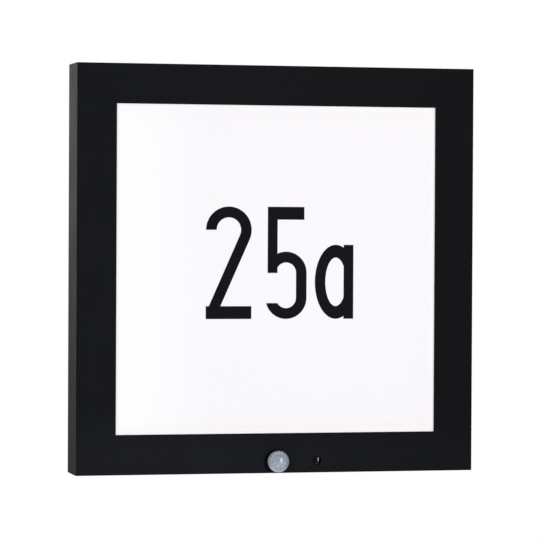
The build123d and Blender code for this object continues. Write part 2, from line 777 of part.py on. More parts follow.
collar -= rod(0, sensor_z, groove_depth, groove_outer) - rod(0, sensor_z, groove_depth, groove_inner)
save("pir_sensor", pir_can)
save("dusk_sensor", dusk_sensor)
save("pir_collar", collar)
save("pir_lens", lens)
save("sensor_board_screws", *sensor_screws)
save("sensor_board", sensor_board)

# ---------------------------------------------------------------- inner leads


def lead(points, radius):
    """A round lead along points (x, depth, z), with its corners rounded."""
    route = [Vector(x, at_depth(depth), z) for x, depth, z in points]
    bends = []
    for before, corner, after in zip(route, route[1:], route[2:]):
        turn = radians((corner - before).get_angle(after - corner))
        shorter = min((corner - before).length, (after - corner).length)
        bends.append(lead_bend_share * shorter / (sin(turn / 2) / cos(turn / 2)))
    path = FilletPolyline(*route, radius=bends)
    start = Plane(origin=route[0], z_dir=route[1] - route[0])
    return sweep(start * Circle(radius), path=path)


lead_depth = (driver_front + driver_base_front) / 2
driver_bottom = driver_z - driver_width / 2
driver_top = driver_z + driver_width / 2
mains_start_x = terminal_x - terminal_pole_pitch
mains_run = (driver_bottom - terminal_depth / 2) / 3
mains_points = [
    (mains_start_x, terminal_middle, terminal_depth / 2 - 1),
    (mains_start_x, terminal_middle, terminal_depth / 2 + mains_run),
    (mains_start_x - 2 * mains_run, lead_depth, driver_bottom - mains_run),
    (mains_start_x - 2 * mains_run, lead_depth, driver_bottom),
]
save("mains_lead", lead(mains_points, lead_radius))

led_run = (led_lead_x - driver_length / 2) / 4
led_leads = []
for side in (-1, 1):
    led_points = [
        (side * driver_length / 2, lead_depth, driver_z),
        (side * (driver_length / 2 + led_run), lead_depth, driver_z),
        (side * (led_lead_x - led_run), lead_depth, led_lead_z - led_run),
        (side * led_lead_x, lead_depth, led_lead_z),
        (side * led_lead_x, led_depth_middle, led_lead_z),
    ]
    led_leads.append(lead(led_points, led_lead_radius))
save("led_leads", *led_leads)

control_lead_x = control_width / 2 - 2 * control_screw_inset
control_points = [
    (driver_length / 3, lead_depth, driver_bottom),
    (driver_length / 3, lead_depth, driver_bottom - mains_run),
    (driver_length / 2, terminal_middle, service_height / 2),
    (driver_length / 2, terminal_middle, -service_height),
    (control_lead_x, terminal_middle, control_z + control_height / 4),
    (control_lead_x, control_front, control_z + control_height / 4),
]
save("control_lead", lead(control_points, lead_radius))

sensor_lead_x = dusk_x * 0.75
sensor_lead_depth = (tray_back + panel_rib_front) / 2
sensor_lead_top = control_z - control_height / 4
sensor_points = [
    (sensor_lead_x, sensor_board_back, sensor_z),
    (sensor_lead_x, sensor_lead_depth, sensor_z),
    (sensor_lead_x, sensor_lead_depth, sensor_lead_top),
    (sensor_lead_x, control_front, sensor_lead_top),
]
save("sensor_lead", lead(sensor_points, lead_radius))
notch_x = (sensor_lead_x - 2 * lead_radius, sensor_lead_x + 2 * lead_radius)
notch_depth = (sensor_lead_depth - 1.5 * lead_radius, panel_rib_front + 1)
holder -= slab(notch_x, notch_depth, (sensor_z, holder_z[1] + 1))
save("sensor_holder", holder)

lead_hole = Cylinder(lead_radius + screw_fit, 3 * driver_wall)
for x in (mains_points[-1][0], driver_length / 3):
    driver_cover -= Pos(x, at_depth(lead_depth), driver_bottom) * lead_hole
save("driver_base", driver_base)
save("driver_cover", driver_cover)
save("driver_board", driver_board)
save("driver_components", *components)
save("driver_screws", *driver_screws)

# ---------------------------------------------------------------- hanging rail

rail_x = (-rail_half_width, rail_half_width)
wall_depth = -front_y
lip_depth = (wall_depth - rail_wall_air - rail_thickness, wall_depth - rail_wall_air)
rail = slab(rail_x, (pan_back, pan_back + rail_thickness), (hook_height, hook_height + rail_leg))
rail += slab(rail_x, (pan_back, lip_depth[1]), (hook_height, hook_height + rail_thickness))
rail += slab(rail_x, lip_depth, (hook_height - rail_lip, hook_height + rail_thickness))
rail_outside = [(at_depth(pan_back), hook_height), (at_depth(lip_depth[1]), hook_height + rail_thickness)]
rail_inside = [
    (at_depth(pan_back + rail_thickness), hook_height + rail_thickness),
    (at_depth(lip_depth[0]), hook_height),
]
rail = round_bends(rail, rail_outside, rail_inside, rail_thickness)
rivets = []
for x, z in rivet_places:
    rail -= rod(x, z, (pan_back - 1, pan_back + rail_thickness + 1), rivet_radius + screw_fit)
    head_seat = pan_back + rail_thickness
    rivet = rod(x, z, (pan_front - rivet_head_height, head_seat + rivet_head_height), rivet_radius)
    rivet += rod(x, z, (head_seat, head_seat + rivet_head_height), rivet_head_radius)
    rivet += rod(x, z, (pan_front - rivet_head_height, pan_front), rivet_head_radius * 0.75)
    rivets.append(rivet)
save("hanging_rail", rail)
save("rail_rivets", *rivets)

# ---------------------------------------------------------------- wall bracket

plate_depth = (wall_depth - bracket_thickness, wall_depth)
flange_depth = (lip_depth[0] - hook_gap - bracket_thickness, lip_depth[0] - hook_gap)
plate_top = hook_height - hook_flange
bracket_x = (-bracket_half_width, bracket_half_width)
shelf_top = plate_top + bracket_thickness
bracket = slab(bracket_x, plate_depth, (bracket_bottom, shelf_top))
bracket += slab(bracket_x, (flange_depth[0], plate_depth[1]), (plate_top, shelf_top))
bracket += slab(bracket_x, flange_depth, (plate_top, hook_height))
foot_depth = (wall_depth - foot_reach, wall_depth)
for side in (-1, 1):
    foot_x_range = (side * foot_x - foot_half_width, side * foot_x + foot_half_width)
    bracket += slab(foot_x_range, plate_depth, (foot_bottom, bracket_bottom))
    bracket += slab(foot_x_range, foot_depth, (foot_bottom, foot_top))
plate_face = at_depth(plate_depth[0])
bracket_outside = [(0, shelf_top), (at_depth(flange_depth[0]), plate_top), (0, foot_bottom)]
bracket_inside = [(plate_face, plate_top), (at_depth(flange_depth[1]), shelf_top), (plate_face, foot_top)]
bracket = round_bends(bracket, bracket_outside, bracket_inside, bracket_thickness)
for side in (-1, 1):
    foot_hole = Cylinder(m3_radius + securing_screw_fit, 4 * bracket_thickness)
    bracket -= Pos(side * foot_x, securing_screw_y, foot_top) * foot_hole
through_plate = (plate_depth[0] - 1, plate_depth[1] + 1)
window = centred_slab(0, 0, bracket_window_width, bracket_window_height, through_plate)
bracket -= fillet(window.edges().filter_by(Axis.Y), bracket_window_radius)
slot_outline = Plane.XZ * SlotOverall(wall_slot_length, wall_slot_width)
slot_shape = extrude(slot_outline, amount=4 * bracket_thickness, both=True)
for x in (-wall_screw_spacing_x / 2, wall_screw_spacing_x / 2):
    for z in (-wall_screw_spacing_z / 2, wall_screw_spacing_z / 2):
        bracket -= Pos(x, 0, z) * slot_shape
save("wall_bracket", bracket)

securing_screw = flat_head_screw(m3_radius, securing_length, m3_flat_head_radius)
for name, side in (("left", -1), ("right", 1)):
    screw_place = Pos(side * foot_x, securing_screw_y, -half)
    save(f"securing_screw_{name}", screw_place * Rot(180, 0, 0) * securing_screw)

# ---------------------------------------------------------------- house number

number_top = number_base + number_height
film_back_y = at_depth(gasket_back)
film_plane = Plane((0, film_back_y, 0), x_dir=(1, 0, 0), z_dir=(0, -1, 0))


def rectangle(left, right, low, high):
    return Pos((left + right) / 2, (low + high) / 2) * Rectangle(right - left, high - low)


def numeral_two(left, width):
    """Round bowl, straight diagonal and a flat bar."""
    bowl = width / 2
    middle = left + bowl
    bowl_z = number_top - bowl
    ring = Pos(middle, bowl_z) * (Circle(bowl) - Circle(bowl - curve_stroke))
    neck_radius = bowl - curve_stroke / 2
    neck_x = neck_radius * cos(radians(two_neck_angle))
    neck_z = -neck_radius * sin(radians(two_neck_angle))
    lean = sin(radians(two_neck_angle)) / cos(radians(two_neck_angle))
    foot_drop = bowl_z + neck_z - number_base
    across = curve_stroke / 2 / cos(radians(two_neck_angle))
    top_x = middle + neck_x + bowl * lean
    foot_x_middle = middle + neck_x - foot_drop * lean
    diagonal = Polygon(
        (foot_x_middle - across, number_base),
        (foot_x_middle + across, number_base),
        (top_x + across, bowl_z + neck_z + bowl),
        (top_x - across, bowl_z + neck_z + bowl),
        align=None,
    )
    below_neck = Polygon(
        (middle - 2 * width, number_base - width),
        (middle + 2 * width, number_base - width),
        (middle + 2 * width, bowl_z - 2 * width * lean),
        (middle, bowl_z),
        (middle - 2 * width, bowl_z),
        align=None,
    )
    ring -= below_neck
    diagonal &= below_neck
    bar = rectangle(left, left + width, number_base, number_base + bar_stroke)
    diagonal &= rectangle(left, left + 2 * width, number_base, number_top)
    return ring + diagonal + bar


def numeral_five(left, width):
    """Top bar, short stem and a tall bowl open to the left."""
    bowl = width / 2
    middle = left + bowl
    bowl_top = number_base + 0.6 * number_height
    low_centre = number_base + bowl
    high_centre = bowl_top - bowl
    outer = rectangle(left, left + width, low_centre, high_centre)
    inner = rectangle(left + curve_stroke, left + width - curve_stroke, low_centre, high_centre)
    for centre_z in (low_centre, high_centre):
        outer += Pos(middle, centre_z) * Circle(bowl)
        inner += Pos(middle, centre_z) * Circle(bowl - curve_stroke)
    ring = outer - inner
    stem_left = left + 0.05 * width
    stem_right = stem_left + stem_stroke
    stem_bottom = high_centre + bowl / 2 - curve_stroke
    ring -= rectangle(left - 1, middle - bowl / 4, low_centre - bowl / 4, stem_bottom)
    ring -= rectangle(left - 1, stem_left, low_centre, bowl_top)
    stem = rectangle(stem_left, stem_right, stem_bottom, number_top)
    bar = rectangle(stem_left, left + 0.94 * width, number_top - bar_stroke, number_top)
    return ring + stem + bar


def letter_a(left, width):
    """Oval bowl closed by a straight stem."""
    bowl_half_height = small_letter_height / 2
    bowl_half_width = 0.54 * width
    middle_z = number_base + bowl_half_height
    oval = Ellipse(bowl_half_width, bowl_half_height)
    oval -= Ellipse(bowl_half_width - curve_stroke, bowl_half_height - bar_stroke)
    right = left + width
    bowl = Pos(left + bowl_half_width, middle_z) * oval
    bowl &= rectangle(left - 1, right - stem_stroke / 2, number_base - 1, number_top)
    stem = rectangle(right - stem_stroke, right, number_base, number_base + small_letter_height)
    return bowl + stem


def film(shape):
    return extrude(film_plane * shape, amount=film_thickness, dir=(0, -1, 0))


save("number_first_digit", film(numeral_two(first_digit_left, first_digit_width)))
save("number_second_digit", film(numeral_five(second_digit_left, second_digit_width)))
save("number_letter", film(letter_a(letter_left, letter_width)))
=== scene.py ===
from math import acos, cos, pi, radians, sin, sqrt

import bmesh
import bpy
from mathutils import Matrix, Vector


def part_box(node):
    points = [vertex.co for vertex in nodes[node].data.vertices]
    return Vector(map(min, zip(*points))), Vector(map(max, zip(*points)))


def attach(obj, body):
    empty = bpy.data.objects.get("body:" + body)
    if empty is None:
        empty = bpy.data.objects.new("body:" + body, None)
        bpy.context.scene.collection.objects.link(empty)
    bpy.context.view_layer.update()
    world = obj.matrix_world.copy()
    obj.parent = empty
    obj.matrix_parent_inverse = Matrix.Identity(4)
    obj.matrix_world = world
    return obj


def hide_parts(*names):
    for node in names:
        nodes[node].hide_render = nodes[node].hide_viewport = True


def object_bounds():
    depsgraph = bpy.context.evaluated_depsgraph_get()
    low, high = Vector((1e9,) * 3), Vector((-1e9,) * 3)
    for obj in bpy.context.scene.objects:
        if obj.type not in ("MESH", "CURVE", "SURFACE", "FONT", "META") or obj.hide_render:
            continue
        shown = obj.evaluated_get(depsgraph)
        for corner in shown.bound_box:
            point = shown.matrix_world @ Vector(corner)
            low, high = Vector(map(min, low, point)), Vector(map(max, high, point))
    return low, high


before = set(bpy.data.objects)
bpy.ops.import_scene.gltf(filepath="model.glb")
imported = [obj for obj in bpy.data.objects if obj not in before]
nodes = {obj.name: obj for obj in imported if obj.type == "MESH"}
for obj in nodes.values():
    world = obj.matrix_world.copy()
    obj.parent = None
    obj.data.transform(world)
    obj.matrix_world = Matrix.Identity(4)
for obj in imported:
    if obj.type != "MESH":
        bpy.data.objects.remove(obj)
cadLow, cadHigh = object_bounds()
scene = bpy.context.scene
mm = 0.001
print("sign loaded:", len(nodes), "CAD nodes")

# camera: the sign is seen a little from its left, from two metres away

viewpoint = {
    "turn": 13.58,  # degrees round the upright axis
    "tilt": 0.86,
    "roll": -0.28,
    "distance": 2.058,
    "aside": 0.0054,
    "rise": 0.0003,
    "lens": 199.7,
}

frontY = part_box("frame_top_profile")[0].y


def makeCamera():
    data = bpy.data.cameras.new("camera")
    data.lens = viewpoint["lens"]
    camera = bpy.data.objects.new("camera", data)
    scene.collection.objects.link(camera)
    upright = Matrix.Rotation(radians(-90), 3, "X")
    turn = Matrix.Rotation(radians(viewpoint["turn"]), 3, "Y")
    tilt = Matrix.Rotation(radians(viewpoint["tilt"]), 3, "X")
    roll = Matrix.Rotation(radians(viewpoint["roll"]), 3, "Z")
    axes = (roll @ tilt @ turn @ upright).transposed()
    offset = Vector((viewpoint["aside"], viewpoint["rise"], -viewpoint["distance"]))
    place = Vector((0, frontY, 0)) - axes @ offset
    camera.matrix_world = Matrix.Translation(place) @ axes.to_4x4()
    scene.camera = camera


makeCamera()
scene.view_settings.view_transform = "Standard"
print("camera set")

# small helpers for shader trees


def feed(tree, socket, value):
    if isinstance(value, bpy.types.NodeSocket):
        tree.links.new(value, socket)
    elif isinstance(value, tuple) and len(value) == 3 and socket.type == "RGBA":
        socket.default_value = (*value, 1)
    else:
        socket.default_value = value


def put(tree, kind, inputs=None, **settings):
    node = tree.nodes.new(kind)
    for name, value in settings.items():
        setattr(node, name, value)
    for name, value in (inputs or {}).items():
        feed(tree, node.inputs[name], value)
    return node


def calc(tree, operation, first, second=0.0, clamp=False):
    node = put(tree, "ShaderNodeMath", {0: first, 1: second}, operation=operation, use_clamp=clamp)
    return node.outputs[0]


def calcVector(tree, operation, inputs, output=0):
    return put(tree, "ShaderNodeVectorMath", inputs, operation=operation).outputs[output]


def blendColours(tree, share, first, second):
    # a Mix node's colours are its sockets 6 and 7, and its mixed colour is output 2
    node = put(tree, "ShaderNodeMix", data_type="RGBA")
    feed(tree, node.inputs[0], share)
    feed(tree, node.inputs[6], first)
    feed(tree, node.inputs[7], second)
    return node.outputs[2]


def spread(tree, value, low, high, toLow=0.0, toHigh=1.0, soft=False):
    node = put(tree, "ShaderNodeMapRange", interpolation_type="SMOOTHSTEP" if soft else "LINEAR")
    for number, setting in enumerate((value, low, high, toLow, toHigh)):
        feed(tree, node.inputs[number], setting)
    return node.outputs[0]


def inMillimetres(tree, stretch=None):
    place = put(tree, "ShaderNodeTexCoord").outputs["Object"]
    scaled = calcVector(tree, "SCALE", {0: place, "Scale": 1 / mm})
    if stretch is None:
        return scaled
    return calcVector(tree, "MULTIPLY", {0: scaled, 1: stretch})


def noise(tree, place, scale, detail=2.0, roughness=0.5):
    values = {"Vector": place, "Scale": scale, "Detail": detail, "Roughness": roughness}
    return put(tree, "ShaderNodeTexNoise", values).outputs[0]


def newGroup(name, inputs, outputs):
    group = bpy.data.node_groups.new(name, "ShaderNodeTree")
    for socketName, value in inputs.items():
        kind = "NodeSocketFloat"
        if isinstance(value, tuple):
            kind = "NodeSocketColor" if len(value) == 4 else "NodeSocketVector"
        socket = group.interface.new_socket(socketName, in_out="INPUT", socket_type=kind)
        socket.default_value = value
    for socketName in outputs:
        kind = "NodeSocketColor" if socketName == "Colour" else "NodeSocketFloat"
        group.interface.new_socket(socketName, in_out="OUTPUT", socket_type=kind)
    given = put(group, "NodeGroupInput").outputs
    result = put(group, "NodeGroupOutput").inputs
    return group, given, result


# shared effects, each a node group


def varyRoughness(group, given, result, value):
    # the roughness swings about its own level as the value swings about a half
    swing = calc(group, "MULTIPLY", calc(group, "SUBTRACT", value, 0.5), given["Roughness Spread"])
    feed(group, result["Roughness"], calc(group, "ADD", given["Roughness"], swing, clamp=True))


streakPattern = {
    "lineDetail": 4.0,
    "lineRoughness": 0.6,
    "lineRange": (0.35, 0.68),
    "lineShare": 0.65,
    "cloudDetail": 3.0,
    "cloudRange": (0.3, 0.7),
    "cloudShare": 0.35,
}


def makeStreaks():
    # lines drawn out along a piece, as on coated profiles and rolled sheet
    group, given, result = newGroup(
        "lengthwiseStreaks",
        {"Colour": (0.5, 0.5, 0.5, 1), "Streak Colour": (0.6, 0.6, 0.6, 1), "Stretch": (1.0, 1.0, 1.0),
         "Clouds": 0.05, "Roughness": 0.4, "Roughness Spread": 0.1},
        ("Colour", "Roughness", "Height"),
    )
    along = inMillimetres(group, given["Stretch"])
    lines = noise(group, along, 1.0, streakPattern["lineDetail"], streakPattern["lineRoughness"])
    clouds = noise(group, inMillimetres(group), given["Clouds"], streakPattern["cloudDetail"])
    streak = spread(group, lines, *streakPattern["lineRange"])
    cloud = spread(group, clouds, *streakPattern["cloudRange"])
    streakPart = calc(group, "MULTIPLY", streak, streakPattern["lineShare"])
    cloudPart = calc(group, "MULTIPLY", cloud, streakPattern["cloudShare"])
    share = calc(group, "ADD", streakPart, cloudPart)
    feed(group, result["Colour"], blendColours(group, share, given["Colour"], given["Streak Colour"]))
    varyRoughness(group, given, result, share)
    feed(group, result["Height"], lines)
    return group


grainPattern = {
    "fineDetail": 3.0,
    "fineShare": 0.3,
    "mottleDetail": 4.0,
    "mottleRoughness": 0.6,
    "mottleRange": (0.32, 0.68),
    "mottleShare": 0.7,
}


def makeGrain():
    # the fine pebbled skin of moulded plastic, rubber and film, with a soft mottle of tone
    group, given, result = newGroup(
        "mouldedGrain",
        {"Colour": (0.5, 0.5, 0.5, 1), "Second Colour": (0.6, 0.6, 0.6, 1), "Grain": 3.0, "Mottle": 0.12,
         "Roughness": 0.5, "Roughness Spread": 0.12},
        ("Colour", "Roughness", "Height"),
    )
    place = inMillimetres(group)
    grains = {"Vector": place, "Scale": given["Grain"]}
    cells = put(group, "ShaderNodeTexVoronoi", grains, feature="SMOOTH_F1")
    fine = noise(group, place, given["Grain"], grainPattern["fineDetail"])
    patches = noise(group, place, given["Mottle"], grainPattern["mottleDetail"],
                    grainPattern["mottleRoughness"])
    mottle = spread(group, patches, *grainPattern["mottleRange"])
    broad = calc(group, "MULTIPLY", mottle, grainPattern["mottleShare"])
    share = calc(group, "ADD", broad, calc(group, "MULTIPLY", fine, grainPattern["fineShare"]))
    feed(group, result["Colour"], blendColours(group, share, given["Colour"], given["Second Colour"]))
    varyRoughness(group, given, result, fine)
    feed(group, result["Height"], calc(group, "ADD", cells.outputs["Distance"], fine))
    return group


wearPattern = {
    "bevelSamples": 4,
    "rubbedFrom": 0.995,  # cosine between the plain and the rounded normal where wear starts
    "rubbedFully": 0.9,
    "chipScale": 0.9,
    "chipDetail": 4.0,
    "chipRoughness": 0.7,
    "chipRange": (0.38, 0.62),
}


def makeEdgeWear():
    # a mask of the rubbed sharp edges, broken up along their length
    group, given, result = newGroup("edgeWear", {"Width": 0.0004, "Amount": 0.5}, ("Mask",))
    bevel = put(group, "ShaderNodeBevel", {"Radius": given["Width"]}, samples=wearPattern["bevelSamples"])
    plain = put(group, "ShaderNodeNewGeometry").outputs["Normal"]
    facing = calcVector(group, "DOT_PRODUCT", {0: bevel.outputs[0], 1: plain}, "Value")
    edge = spread(group, facing, wearPattern["rubbedFrom"], wearPattern["rubbedFully"], soft=True)
    crumbs = noise(group, inMillimetres(group), wearPattern["chipScale"], wearPattern["chipDetail"],
                   wearPattern["chipRoughness"])
    worn = calc(group, "MULTIPLY", edge, spread(group, crumbs, *wearPattern["chipRange"]))
    feed(group, result["Mask"], calc(group, "MULTIPLY", worn, given["Amount"], clamp=True))
    return group


spanglePattern = {
    "raggedScale": 0.7,
    "raggedDetail": 2.0,
    "scratchStretch": (0.15, 4.0, 4.0),
    "scratchDetail": 3.0,
    "crystalShare": 0.75,
    "scratchShare": 0.3,
}


def makeSpangle():
    # the flat crystals of a zinc coat
    group, given, result = newGroup(
        "zincSpangle",
        {"Colour": (0.5, 0.5, 0.5, 1), "Crystal Colour": (0.6, 0.6, 0.6, 1), "Size": 0.25,
         "Roughness": 0.35, "Roughness Spread": 0.2},
        ("Colour", "Roughness", "Height"),
    )
    place = inMillimetres(group)
    ragged = noise(group, place, spanglePattern["raggedScale"], spanglePattern["raggedDetail"])
    shifted = calcVector(group, "ADD", {0: place, 1: ragged})
    crystal = put(group, "ShaderNodeTexVoronoi", {"Vector": shifted, "Scale": given["Size"]}, feature="F1")
    tone = put(group, "ShaderNodeSeparateColor", {0: crystal.outputs["Color"]}).outputs[0]
    drawn = inMillimetres(group, spanglePattern["scratchStretch"])
    scratches = noise(group, drawn, 1.0, spanglePattern["scratchDetail"])
    crystals = calc(group, "MULTIPLY", tone, spanglePattern["crystalShare"])
    share = calc(group, "ADD", crystals, calc(group, "MULTIPLY", scratches, spanglePattern["scratchShare"]))
    feed(group, result["Colour"], blendColours(group, share, given["Colour"], given["Crystal Colour"]))
    varyRoughness(group, given, result, tone)
    feed(group, result["Height"], calc(group, "ADD", tone, scratches))
    return group


effects = {
    "streaks": makeStreaks(),
    "grain": makeGrain(),
    "edgeWear": makeEdgeWear(),
    "spangle": makeSpangle(),
}
print("effects built:", ", ".join(effects))

# finishes

covered = set()


def coverNodes(material, *names):
    for name in names:
        for slot in nodes[name].material_slots:
            slot.material = material
    covered.update(names)


def startMaterial(name):
    material = bpy.data.materials.new(name)
    material.use_nodes = True
    tree = material.node_tree
    return material, tree, tree.nodes["Principled BSDF"]


def useEffect(tree, effect, **values):
    node = put(tree, "ShaderNodeGroup", node_tree=effects[effect])
    for name, value in values.items():
        spaced = "".join(" " + letter if letter.isupper() else letter for letter in name)
        feed(tree, node.inputs[spaced[0].upper() + spaced[1:]], value)
    return node.outputs


def addBump(tree, shader, height, depth, distance=0.1 * mm):
    bump = put(tree, "ShaderNodeBump", {"Strength": depth, "Distance": distance, "Height": height})
    feed(tree, shader.inputs["Normal"], bump.outputs[0])


def finishSurface(name, look):
    material, tree, shader = startMaterial(name)
    surface = useEffect(tree, look["effect"], **look["pattern"])
    colour = surface["Colour"]
    if "wear" in look:
        worn = useEffect(tree, "edgeWear", width=look["wearWidth"], amount=look["wearAmount"])["Mask"]
        colour = blendColours(tree, worn, colour, look["wear"])
    feed(tree, shader.inputs["Base Color"], colour)
    feed(tree, shader.inputs["Roughness"], surface["Roughness"])
    addBump(tree, shader, surface["Height"], look["bump"])
    for socket, value in look.get("shader", {}).items():
        feed(tree, shader.inputs[socket], value)
    return material


# coated profiles: the streaks run along each profile; painted shade deepens the coat to the right and
# painted light lifts it towards the underside
coatedFrame = {
    "colour": (0.0043, 0.0046, 0.0060),
    "streak": (0.0066, 0.0070, 0.0089),
    "paintedShadeColour": (0.0023, 0.0025, 0.0032),
    "paintedShadeStreak": (0.0039, 0.0041, 0.0050),
    "farFrom": -40.0,  # the painted shade starts this many mm from the middle, left of it
    "paintedLowLight": 0.42,
    "paintedLowLightFrom": -90.0,  # painted light lifts the coat between these two heights, in mm
    "lowerTo": -130.0,
    "alongStep": 0.012,
    "acrossStep": 1.6,
    "clouds": 0.03,
    "roughness": 0.60,
    "roughnessSpread": 0.14,
    "specular": 0.10,
    "sheenTint": (0.88, 0.93, 1.0),
    "bump": 0.05,
    "wear": (0.04, 0.042, 0.047),
    "wearWidth": 0.5 * mm,
    "wearAmount": 0.12,
}


def coatFrame():
    along, across = coatedFrame["alongStep"], coatedFrame["acrossStep"]
    stretches = {
        "top": (along, across, across),
        "bottom": (along, across, across),
        "left": (across, across, along),
        "right": (across, across, along),
    }
    for side, stretch in stretches.items():
        material, tree, shader = startMaterial("frameCoat" + side.capitalize())
        split = put(tree, "ShaderNodeSeparateXYZ", {0: inMillimetres(tree)}).outputs
        # painted shade: the coat's tones deepen towards the right
        paintedShade = spread(tree, split["X"], coatedFrame["farFrom"], cadHigh.x / mm)
        # painted light: the coat's tones are lifted towards the underside
        paintedLowLightScale = spread(tree, split["Z"], coatedFrame["paintedLowLightFrom"], coatedFrame["lowerTo"], 1.0,
                      1 + coatedFrame["paintedLowLight"], soft=True)
        tones = []
        for near, paintedShadeName in (("colour", "paintedShadeColour"), ("streak", "paintedShadeStreak")):
            mixed = blendColours(tree, paintedShade, coatedFrame[near], coatedFrame[paintedShadeName])
            tones.append(calcVector(tree, "SCALE", {0: mixed, "Scale": paintedLowLightScale}))
        surface = useEffect(
            tree, "streaks", colour=tones[0], streakColour=tones[1], stretch=stretch,
            clouds=coatedFrame["clouds"], roughness=coatedFrame["roughness"],
            roughnessSpread=coatedFrame["roughnessSpread"],
        )
        wear = useEffect(tree, "edgeWear", width=coatedFrame["wearWidth"], amount=coatedFrame["wearAmount"])
        colour = blendColours(tree, wear["Mask"], surface["Colour"], coatedFrame["wear"])
        feed(tree, shader.inputs["Base Color"], colour)
        feed(tree, shader.inputs["Roughness"], surface["Roughness"])
        feed(tree, shader.inputs["Specular IOR Level"], coatedFrame["specular"])
        feed(tree, shader.inputs["Specular Tint"], coatedFrame["sheenTint"])
        addBump(tree, shader, surface["Height"], coatedFrame["bump"])
        coverNodes(material, f"frame_{side}_profile")


coatFrame()

# the lit opal panel: a white sheet with an even glow; the strip beside its left LED row and the line along
# the frame also carry painted light against the bezel's shade
opalPanel = {
    "base": (0.345, 0.342, 0.348),
    "fleck": (0.335, 0.335, 0.342),
    "glow": (0.838, 0.814, 0.844),
    "blush": (0.838, 0.780, 0.784),
    "bright": (0.915, 0.918, 0.918),
    # painted light along the frame
    "rim": (0.940, 0.905, 0.925),
    "strength": 0.70,
    "stripWidth": 75.0,  # mm of brighter strip beside the LED row, partly its own glow and partly painted light
    "blushDepth": 26.0,  # mm of warmer edge at top and bottom
    "rimDepth": 5.0,  # mm of painted light along the frame, lifting the glow where the bezel shades the panel
    "patchScale": 0.022,
    "patchRange": (0.38, 0.6),
    "patchLeast": 0.7,  # the warmer edge never fades below this share
    "fleckScale": 2.5,
    "fleckRange": (0.3, 0.7),
    "roughnessRange": (0.34, 0.38),
    "specular": 0.25,
}


def lightPanel():
    low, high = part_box("diffuser")
    material, tree, shader = startMaterial("opalPanel")
    place = inMillimetres(tree)
    split = put(tree, "ShaderNodeSeparateXYZ", {0: place}).outputs
    leftEdge = low.x / mm
    halfHeight = (high.z - low.z) / 2 / mm
    nearLeft = spread(tree, split["X"], leftEdge + opalPanel["stripWidth"], leftEdge)
    fromMiddle = calc(tree, "ABSOLUTE", split["Z"])
    furthest = calc(tree, "MAXIMUM", fromMiddle, calc(tree, "ABSOLUTE", split["X"]))
    opening = -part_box("frame_left_profile")[1].x / mm
    paintedEdgeLight = spread(tree, furthest, opening - opalPanel["rimDepth"], opening, soft=True)
    nearEnds = spread(tree, fromMiddle, halfHeight - opalPanel["blushDepth"], halfHeight, soft=True)
    broad = noise(tree, place, opalPanel["patchScale"])
    patches = spread(tree, broad, *opalPanel["patchRange"], opalPanel["patchLeast"], 1.0)
    warm = calc(tree, "MULTIPLY", nearEnds, patches)
    glow = blendColours(tree, warm, opalPanel["glow"], opalPanel["blush"])
    # the left strip: glow of the LED row, with painted light lifting the bezel's shade
    glow = blendColours(tree, nearLeft, glow, opalPanel["bright"])
    # painted light along the frame, where the bezel shades the panel
    glow = blendColours(tree, paintedEdgeLight, glow, opalPanel["rim"])
    fine = noise(tree, place, opalPanel["fleckScale"])
    feed(tree, shader.inputs["Base Color"], blendColours(tree, fine, opalPanel["base"], opalPanel["fleck"]))
    feed(tree, shader.inputs["Emission Color"], glow)
    shader.inputs["Emission Strength"].default_value = opalPanel["strength"]
    rough = spread(tree, fine, *opalPanel["fleckRange"], *opalPanel["roughnessRange"])
    feed(tree, shader.inputs["Roughness"], rough)
    shader.inputs["Specular IOR Level"].default_value = opalPanel["specular"]
    coverNodes(material, "diffuser")


lightPanel()

